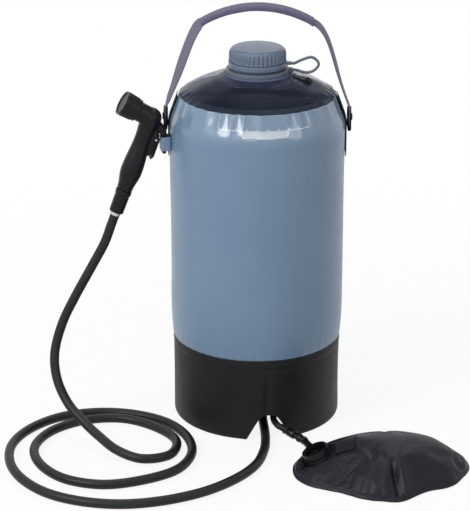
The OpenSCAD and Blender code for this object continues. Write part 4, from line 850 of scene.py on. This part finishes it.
def pump_height(f, turn):
    """Crowned height over the share of the way out, fuller towards the back right, less the
    valleys, with small waves along the rim."""
    power = 1.5 + 0.5 * (1 + np.cos(turn - math.radians(20)))
    height = PUMP_SEAM + (PUMP_H - PUMP_SEAM) * np.clip(1 - f ** power, 0, 1) ** 0.8
    for numbers in VALLEYS:
        height = height - valley(f, turn, *numbers)
    wave = np.sin(31 * turn + 1.5 * np.sin(4 * turn)) * (0.6 + 0.4 * np.sin(5 * turn + 1))
    by_tip = rise(np.abs(away(turn, 180)), 14, 26)
    return height + 0.7 * wave * np.exp(-((f - 0.93) / 0.06) ** 2) * by_tip


pump_turn = np.linspace(0, 2 * np.pi, 301)
outward_share = np.sin(np.radians(np.linspace(0, 90, TOP_ROWS)))[:, None]
edge_r = pump_edge(pump_turn)
ripple = 0.5 * np.sin(23 * pump_turn + 2 * np.sin(3 * pump_turn))
rim = [(edge_r + 0.8, 3.4), (edge_r + 2.6, 2.6 + 0.5 * ripple), (edge_r + 3.1, 1.8 + 0.5 * ripple),
       (edge_r + 2.7, 0.9 + 0.3 * ripple), (edge_r + 1.0, 0.35), (edge_r * 0.9, 0.25),
       (edge_r * 0.4, 0.25), (edge_r * 0, 0.25)]
pump_r = np.concatenate([outward_share * edge_r, [r for r, z in rim]])
pump_z = np.concatenate([pump_height(outward_share, pump_turn), [z + 0 * r for r, z in rim]])
pump_grid = polar(pump_r, pump_turn, pump_z) + [*PUMP_XY, 0]
loose = slice(int(np.searchsorted(outward_share[:, 0], 0.25)), TOP_ROWS)
loose_grid = pump_grid[loose, ::2]
from_middle = loose_grid[..., :2] - PUMP_XY
held = (outward_share[loose] > 0.985) | (outward_share[loose] < 0.3)
held = held | (np.linalg.norm(loose_grid[..., :2] - INTAKE_XY, axis=2) < INTAKE_HOLD)
held = held | (np.abs(from_middle - TAB_MIDDLE) < TAB_HOLD).all(axis=2)
wrinkles = settled(loose_grid, held, slack=0.010, pressure=1.2, frames=25, cap=1.8)
pump_grid[loose, ::2] += wrinkles
pump_grid[loose, 1::2] += (wrinkles[:, :-1] + wrinkles[:, 1:]) / 2
pump_top = pump_grid[:TOP_ROWS]
from_intake = np.linalg.norm(pump_top[..., :2] - INTAKE_XY + [1.0, 0], axis=2)
sunk = pump_top[..., 2] - POCKET_DEEP * (1 - rise(from_intake, POCKET_R, POCKET_RIM))
pump_top[..., 2] = np.maximum(sunk, np.minimum(pump_top[..., 2], POCKET_FLOOR))


def pump_skin(x, y):
    """Height of the pillow over a place."""
    turn = np.arctan2(y - PUMP_XY[1], x - PUMP_XY[0])
    return pump_height(np.hypot(x - PUMP_XY[0], y - PUMP_XY[1]) / pump_edge(turn), turn)


pump = piece("pump_pillow", [pump_grid], "tank", "pump_fabric")
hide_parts("pump_top_panel", "pump_bottom_panel", "pump_foam")
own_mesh(pump)

# %% [markdown]
# A fabric tab lies on the pump beside the intake. It is a small sheet draped over the
# pillow's own height, with a rolled free edge.

# %% Pump tab
PULL_T = 1.2
tab_x, tab_y = np.meshgrid(PUMP_XY[0] + np.linspace(-59, -37, 16), PUMP_XY[1] + np.linspace(-12, 16, 18))
roll = 1.6 * rise(PUMP_XY[0] - tab_x, 55, 59.5) ** 2
lift = 0.75 + roll + 0.3 * np.sin((tab_y - PUMP_XY[1]) / 5)
pull_grid = stacked(tab_x, tab_y, pump_skin(tab_x, tab_y) + lift + 0.9)
pump_tab = piece("pump_pull_tab", slab(pull_grid, pull_grid - [0, 0, PULL_T]), "tank", "black_tape")
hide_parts("pump_tab")
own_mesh(pump_tab)

# %% [markdown]
# Finishes are node trees. Writing them as sums and products is easier to read than wiring
# by hand, so one small class wraps a node's output and turns Python arithmetic into Math
# nodes. Every other node comes from one method that takes its kind, its settings and its inputs.

# %% Shader arithmetic
class Value:
    """A node output that can be added, multiplied and compared like a number."""

    def __init__(self, finish, socket):
        self.finish = finish
        self.socket = socket

    def math(self, operation, *others):
        return self.finish.node("Math", {"operation": operation}, dict(enumerate((self,) + others)))

    def __add__(self, other):
        return self.math("ADD", other)

    def __mul__(self, other):
        return self.math("MULTIPLY", other)

    def __sub__(self, other):
        return self.math("SUBTRACT", other)

    def __rsub__(self, other):
        return self.finish.node("Math", {"operation": "SUBTRACT"}, {0: other, 1: self})

    def __gt__(self, other):
        return self.math("GREATER_THAN", other)

    def __lt__(self, other):
        return self.math("LESS_THAN", other)

    def sine(self):
        return self.math("SINE")

    def size(self):
        return self.math("ABSOLUTE")

    def part(self):
        return self.math("FRACT")

    def clamped(self):
        return self.math("MINIMUM", 1.0).math("MAXIMUM", 0.0)

    def between(self, low, high):
        return (self > low) * (self < high)

    __radd__ = __add__
    __rmul__ = __mul__


def colour(red, green, blue):
    """Screen colour from 0 to 255 as the linear colour that a shader takes."""
    value = np.array([red, green, blue]) / 255
    linear = np.where(value <= 0.04045, value / 12.92, ((value + 0.055) / 1.055) ** 2.4)
    return (*linear.tolist(), 1.0)


class Nodes:
    """An emptied node tree, and the one way in which nodes are added to it."""

    def __init__(self, tree):
        self.tree = tree
        tree.nodes.clear()

    def node(self, kind, settings=None, inputs=None, output=0, whole=False):
        made = self.tree.nodes.new("ShaderNode" + kind)
        for name, value in (settings or {}).items():
            setattr(made, name, value)
        for key, value in (inputs or {}).items():
            if isinstance(value, Value):
                self.tree.links.new(value.socket, made.inputs[key])
            else:
                made.inputs[key].default_value = value
        return made if whole or not made.outputs else Value(self, made.outputs[output])


class Finish(Nodes):
    """A material: one Principled shader, and the nodes that vary its inputs."""

    def __init__(self, name, **constants):
        self.material = bpy.data.materials.new(name)
        self.material.use_nodes = True
        super().__init__(self.material.node_tree)
        constants = {socket.replace("_", " "): value for socket, value in constants.items()}
        self.shader = self.node("BsdfPrincipled", inputs=constants, whole=True)
        self.node("OutputMaterial", inputs={0: Value(self, self.shader.outputs[0])})
        coordinate = self.node("TexCoord", whole=True)
        self.place = Value(self, coordinate.outputs["Object"])
        self.cloth = Value(self, coordinate.outputs["UV"])

    def feed(self, socket, value):
        self.tree.links.new(value.socket, self.shader.inputs[socket])

    def axes(self, vector):
        made = self.node("SeparateXYZ", inputs={0: vector}, whole=True)
        return [Value(self, out) for out in made.outputs]

    def noise(self, scale, detail=3.0, vector=None, rough=0.5):
        return self.node("TexNoise", inputs={"Vector": vector or self.place, "Scale": scale,
                                             "Detail": detail, "Roughness": rough})

    def blend(self, share, first, second):
        return self.node("Mix", {"data_type": "RGBA"}, {0: share, 6: first, 7: second}, output=2)

    def tint(self, share, first, second):
        """Feeds the base colour with a mix of two colours, and gives the mix back."""
        mixed = self.blend(share, first, second)
        self.feed("Base Color", mixed)
        return mixed

    def scaled(self, vector, factors):
        return self.node("VectorMath", {"operation": "MULTIPLY"}, {0: vector, 1: factors})

    def bump(self, height, distance, strength):
        self.feed("Normal", self.node("Bump", inputs={"Strength": strength, "Distance": distance,
                                                      "Height": height}))

    def weave(self, pitch_u, pitch_v):
        """Plain weave: warp and weft ribs, each on top where a chequer says so."""
        u, v, _ = self.axes(self.cloth)
        warp = (u * (math.pi / pitch_u)).sine()
        weft = (v * (math.pi / pitch_v)).sine()
        over = (warp * weft) > 0.0
        return over * warp.size() + (1 - over) * weft.size()


# %% [markdown]
# The tank's cloth is blue, coated and satin: a fine weave shows through the coat, the colour
# drifts a little, and thumbs have left duller patches. The capacity mark is only a thin
# pale line with even ticks and a plain pale field, drawn by angle and height.

# %% Tank cloth
DEG = math.pi / 180
LINE_LOW, LINE_HIGH, TICK_HIGH, FIELD_LOW, FIELD_HIGH = 0.4120, 0.4127, 0.4152, 0.4040, 0.4116
TICK_STEP = 7.05 * DEG
tank_cloth = Finish("tank_cloth", Coat_Roughness=0.1)
x, y, z = tank_cloth.axes(tank_cloth.place)
angle = x.math("ARCTAN2", 0.0 - y)
base = tank_cloth.blend(tank_cloth.noise(9.0, 4.0), colour(101, 125, 150), colour(116, 140, 164))
base = tank_cloth.blend(tank_cloth.noise(420.0, 2.0) * 0.18, base, colour(82, 104, 130))
on_line = angle.between(-26.5 * DEG, 37 * DEG)
line = z.between(LINE_LOW, LINE_HIGH) * on_line
at_tick = (angle * (1 / TICK_STEP) + 4.0).part() < 0.07
ticks = z.between(LINE_HIGH, TICK_HIGH) * on_line * at_tick
lean_in = (0.4122 - z) * 4.0
field_sides = (angle > lean_in - 11.4 * DEG) * (angle < 21.8 * DEG - lean_in)
field = z.between(FIELD_LOW, FIELD_HIGH) * field_sides
mark = line + ticks + field * 0.8
tank_cloth.tint(mark.math("MINIMUM", 1.0), base, colour(205, 210, 216))
tank_cloth.feed("Roughness", 0.26 + 0.16 * tank_cloth.noise(26.0, 5.0))
tank_cloth.feed("Coat Weight", ((z - 0.388) * 60.0).clamped() * 0.9)
tank_cloth.bump(tank_cloth.weave(0.0007, 0.0007) * 0.5 + tank_cloth.noise(60.0, 3.0) * 1.4, 0.00006, 0.7)

# %% [markdown]
# Clear film is mostly its own gloss. It is slightly smoky, and at a glancing angle it turns
# nearly opaque in its own colour, a painted glare beside its real gloss; a slow ripple bends the
# highlights. The weld band is a bluer film, pressed with a grid.

# %% Films
clear_film = Finish("clear_film", Base_Color=colour(100, 108, 134), Roughness=0.06, IOR=1.5)
# The film turns nearly opaque at a glancing angle, so its own colour shows there as painted glare.
painted_glare_facing = clear_film.node("LayerWeight", inputs={"Blend": 0.5}, output="Facing")
painted_glare_facing = painted_glare_facing * painted_glare_facing
clear_film.feed("Alpha", 0.01 + 0.03 * clear_film.noise(14.0, 4.0) + 0.9 * painted_glare_facing * painted_glare_facing)
clear_film.bump(clear_film.noise(34.0, 3.0), 0.0012, 0.35)
weld_film = Finish("weld_film", Roughness=0.2, Specular_IOR_Level=0.2)
pressed = weld_film.weave(0.0016, 0.0016)
weld_film.tint(weld_film.noise(40.0), colour(70, 86, 110), colour(104, 120, 142))
weld_film.feed("Alpha", 0.03 + 0.06 * pressed)
weld_film.bump(pressed, 0.0003, 0.6)

# %% [markdown]
# Plastics share one recipe: a base colour with a slow drift, a fine moulded grain in the
# bump, and a roughness that changes with handling.

# %% Plastics and rubber
def moulded(name, dark, light, rough, grain=900.0, depth=0.00004, shine=0.5):
    """Colour between two tones by slow noise, roughness by broad noise, bump by fine grain."""
    made = Finish(name, Specular_IOR_Level=shine)
    made.tone = made.tint(made.noise(18.0, 4.0), dark, light)
    made.feed("Roughness", (rough - 0.07) + 0.14 * made.noise(54.0, 4.0))
    made.bump(made.noise(grain, 2.0), depth, 0.6)
    return made


base_plastic = moulded("base_black", colour(15, 16, 18), colour(27, 28, 31), 0.5, 700.0, 0.00008,
                       shine=0.18)
slate_plastic = moulded("slate_plastic", colour(92, 106, 127), colour(106, 120, 141), 0.34)
neck_plastic = moulded("neck_plastic", colour(92, 106, 127), colour(106, 120, 141), 0.5, shine=0.05)
# Below the film the neck's flange is painted dark: painted shadow under the neck.
painted_shade_under_film = neck_plastic.axes(neck_plastic.place)[2] < 0.4565
neck_plastic.tint(painted_shade_under_film, neck_plastic.tone, colour(34, 38, 54))
grey_plastic = moulded("grey_plastic", colour(88, 96, 108), colour(104, 112, 124), 0.42)
black_plastic = moulded("black_plastic", colour(9, 9, 11), colour(19, 19, 22), 0.3, shine=0.22)
valve_plastic = moulded("valve_plastic", colour(196, 196, 190), colour(212, 212, 206), 0.3)
rubber = moulded("soft_rubber", colour(22, 22, 23), colour(36, 36, 37), 0.6, 500.0, 0.0001, shine=0.25)
foam = moulded("core_foam", colour(140, 134, 112), colour(170, 162, 138), 0.9, 300.0, 0.0006)
# The inside of the tank's wall is painted dark as shade, since little light reaches it. Under the
# shoulder it is paler, most of all towards the sides: painted glare of the film over it.
painted_shade_lining = moulded("tank_painted_shade_lining", colour(30, 42, 62), colour(40, 54, 76), 0.55, 300.0, 0.0001, shine=0.2)
side_x, _, height_z = painted_shade_lining.axes(painted_shade_lining.place)
painted_shoulder_share = ((height_z - 0.392) * 90.0).clamped()
painted_glare_aside = ((side_x.size() - 0.03) * 18.0).clamped()
painted_shade_and_glare_in = painted_shade_lining.blend(painted_glare_aside, colour(52, 52, 72), colour(112, 110, 126))
painted_shade_lining.tint(painted_shoulder_share, painted_shade_lining.tone, painted_shade_and_glare_in)

# %% [markdown]
# The hose has faint lines along it from the die it was drawn through, and dust in them.

# %% Hose rubber
hose_rubber = Finish("hose_rubber", Specular_IOR_Level=0.28)
across_hose = hose_rubber.axes(hose_rubber.cloth)[0]
drawn = (across_hose * (2 * math.pi / 0.0012)).sine()
dust = hose_rubber.noise(30.0, 5.0)
hose_rubber.tint(dust, colour(13, 13, 15), colour(30, 30, 34))
hose_rubber.feed("Roughness", 0.34 + 0.2 * dust)
hose_rubber.bump(drawn * 0.4 + hose_rubber.noise(300.0, 2.0), 0.00005, 0.6)

# %% [markdown]
# Woven pieces take a real weave in metres along their own surface: thread ribs in the bump,
# painted shade in the gaps between threads in the colour, and a little fuzz as sheen.

# %% Woven cloths
def woven(name, dark, light, pitch_u, pitch_v, depth, rough=0.75, sheen=0.1, shine=0.4):
    """Ribs of a plain weave drive the bump and a painted shade in the gaps; broad noise fades the dye.
    """
    made = Finish(name, Sheen_Weight=sheen, Sheen_Roughness=0.5, Specular_IOR_Level=shine)
    ribs = made.weave(pitch_u, pitch_v)
    worn = made.noise(40.0, 4.0)
    # Low places of the weave are darker: painted shade between the threads. The worn noise fades the
    # dye.
    made.tint(0.25 + 0.45 * ribs + 0.3 * worn, dark, light)
    made.feed("Roughness", (rough - 0.1) + 0.2 * worn)
    made.bump(ribs + 0.3 * made.noise(900.0, 2.0), depth, 0.8)
    return made


webbing_cloth = woven("webbing_cloth", colour(74, 71, 90), colour(116, 110, 134), 0.0011, 0.0022, 0.0003)
grip_cloth = woven("grip_cloth", colour(68, 65, 88), colour(98, 94, 122), 0.0008, 0.0008, 0.0002)
black_tape = woven("black_tape", colour(11, 11, 13), colour(28, 28, 31), 0.001, 0.0016, 0.00025,
                   0.65, 0.02, 0.15)

# %% [markdown]
# The tab on the dome is the same tape, painted darker between its threads, with one paler stripe along
# its middle.

# %% Dome tape
dome_tape = Finish("dome_tape", Sheen_Weight=0.02, Sheen_Roughness=0.5, Specular_IOR_Level=0.15)
across_tab, along_tab, _ = dome_tape.axes(dome_tape.cloth)
stripe = along_tab.between(0.001, 0.0215) * across_tab.between(0.0042, 0.0082)
tab_ribs = dome_tape.weave(0.001, 0.0016)
# Low places of the weave are darker: painted shade between the threads.
dark_tape = dome_tape.blend(tab_ribs, colour(8, 8, 10), colour(22, 22, 25))
dome_tape.tint(stripe * 0.7, dark_tape, colour(128, 130, 140))
dome_tape.feed("Roughness", 0.55 + 0.2 * dome_tape.noise(40.0, 4.0))
dome_tape.bump(tab_ribs, 0.00025, 0.8)

# %% [markdown]
# The pump's cloth is coated and leathery: pebbles of grain, shine on the high spots, and grey
# scuffs where the pillow rubs.

# %% Pump cloth
pump_cloth = Finish("pump_cloth", Specular_IOR_Level=0.22)
pebble = pump_cloth.node("TexVoronoi", {"feature": "SMOOTH_F1"},
                         {"Vector": pump_cloth.place, "Scale": 520.0, "Smoothness": 0.6})
scuff = pump_cloth.noise(22.0, 6.0, rough=0.65)
pump_cloth.tint(scuff, colour(7, 8, 14), colour(19, 22, 32))
pump_cloth.feed("Roughness", 0.34 + 0.2 * scuff)
pump_cloth.bump(pebble * 0.8 + pump_cloth.noise(90.0, 4.0) * 1.2, 0.00022, 0.7)

# %% [markdown]
# Steel is drawn out in fine scratches: a noise stretched along one axis.

# %% Steel
steel = Finish("bright_steel", Metallic=1.0)
scratch = steel.noise(60.0, 4.0, steel.scaled(steel.place, (40.0, 40.0, 3.0)))
steel.tint(scratch, colour(176, 178, 182), colour(214, 215, 218))
steel.feed("Roughness", 0.2 + 0.18 * scratch)
steel.bump(scratch, 0.00003, 0.4)

# %% [markdown]
# Each slot of the record now has its finish. New pieces and kept solids take them by slot. Some
# kept solids also get softened edges from live modifiers, so that their rims catch light.

# %% Give every piece its finish
looks = {"tank_fabric": tank_cloth, "clear_film": clear_film, "weld_film": weld_film,
         "base_plastic": base_plastic, "slate_plastic": slate_plastic, "grey_plastic": grey_plastic,
         "black_tape": black_tape, "black_plastic": black_plastic, "webbing": webbing_cloth,
         "grip_fabric": grip_cloth, "steel": steel, "valve_plastic": valve_plastic, "rubber": rubber,
         "hose_rubber": hose_rubber, "pump_fabric": pump_cloth, "foam": foam}
for slot, made in finishes.items():
    for obj in made:
        obj.data.materials.append(looks[slot].material)
dome_tab.data.materials[0] = dome_tape.material
# The inner faces of the tank's wall take the painted shade lining.
tank_skin.data.materials.append(painted_shade_lining.material)
tank_skin.modifiers["wall"].material_offset = 1
SOFT_EDGE = {"trigger": 0.6, "hose_nut": 0.4, "hose_ferrule": 0.3, "coupling_socket": 0.3,
             "coupling_plug": 0.3, "spray_ring": 0.3, "tether_collar": 0.4, "cap_swivel_ring": 0.4,
             "anchor_rivet_left": 0.3, "anchor_rivet_right": 0.3, "filler_neck": 0.5}
for name, solid in frame["nodes"].items():
    look = neck_plastic if name == "filler_neck" else looks[slot_of[name]]
    solid.material_slots[0].link = "OBJECT"
    solid.material_slots[0].material = look.material
    if name in SOFT_EDGE:
        joined = solid.modifiers.new("joined", "WELD")
        joined.merge_threshold = 0.00001
        softened = solid.modifiers.new("softened", "BEVEL")
        softened.width = SOFT_EDGE[name] * MM
        softened.segments = 2
        softened.limit_method = "ANGLE"
        softened.angle_limit = math.radians(50)
print("finishes:", len(looks))

# %% [markdown]
# The set is a pale floor and four soft lamps: a broad key from the upper left, a small fill from
# the right, a long thin strip in front and a broad one above and behind. To the camera the floor
# and the world are white, and near the tank the floor keeps a small part of the shadow.

# %% Floor and lights
FLOOR, FLOOR_Z = 6.0, -0.0006
floor_corners = [(-FLOOR, -FLOOR), (FLOOR, -FLOOR), (FLOOR, FLOOR), (-FLOOR, FLOOR)]
plane = bpy.data.meshes.new("floor")
plane.from_pydata([(*corner, FLOOR_Z) for corner in floor_corners], [], [(0, 1, 2, 3)])
floor = bpy.data.objects.new("floor", plane)
collection.objects.link(floor)


def seen_plainly(nodes):
    """One for rays from the camera, off gloss or through film, and nought for lighting rays."""
    rays = nodes.node("LightPath", whole=True)
    eye, gloss, film = (Value(nodes, rays.outputs[kind])
                        for kind in ("Is Camera Ray", "Is Glossy Ray", "Is Transmission Ray"))
    return eye.math("MAXIMUM", gloss).math("MAXIMUM", film)


ground = bpy.data.materials.new("pale_floor")
ground.use_nodes = True
paint = Nodes(ground.node_tree)
floor_place = paint.node("TexCoord", output="Object")
from_tank = paint.node("VectorMath", {"operation": "LENGTH"}, {0: floor_place}, output="Value")
white_share = paint.node("MapRange", inputs={"Value": from_tank, "From Min": 0.3, "From Max": 1.0,
                                             "To Min": 0.88, "To Max": 1.0})
pale = paint.node("BsdfDiffuse", inputs={"Color": (0.9, 0.9, 0.9, 1)})
glow = paint.node("Emission")
mixed = paint.node("MixShader", inputs={0: seen_plainly(paint) * white_share, 1: pale, 2: glow})
paint.node("OutputMaterial", inputs={0: mixed})
plane.materials.append(ground)

world = bpy.data.worlds.new("studio")
world.use_nodes = True
scene.world = world
sky = Nodes(world.node_tree)
dim = sky.node("Background", inputs={"Color": (0.9, 0.95, 1.0, 1), "Strength": 0.35})
white = sky.node("Background", inputs={"Color": (1, 1, 1, 1), "Strength": 1.0})
backdrop = sky.node("MixShader", inputs={0: seen_plainly(sky), 1: dim, 2: white})
sky.node("OutputWorld", inputs={0: backdrop})


def lamp(name, place, aim, size, power):
    """Soft lamp of a width and a height that looks from a place at a point."""
    light = bpy.data.lights.new(name, "AREA")
    light.energy = power
    light.shape = "RECTANGLE"
    light.size, light.size_y = size
    made = bpy.data.objects.new(name, light)
    forward = np.array(aim, float) - np.array(place, float)
    pitch = math.atan2(math.hypot(forward[0], forward[1]), -forward[2])
    made.location = place
    made.rotation_euler = (pitch, 0, math.atan2(-forward[0], forward[1]))
    collection.objects.link(made)


lamp("key", (-1.7, -1.5, 1.9), (0, 0, 0.25), (1.2, 1.2), 42)
lamp("fill", (1.9, -1.6, 1.2), (0, 0, 0.25), (0.5, 0.8), 4)
lamp("front", (0, -2.7, 1.35), (0, 0, 0.3), (2.4, 0.14), 7)
lamp("top", (0.2, 0.6, 2.2), (0, 0, 0.2), (1.6, 1.6), 16)
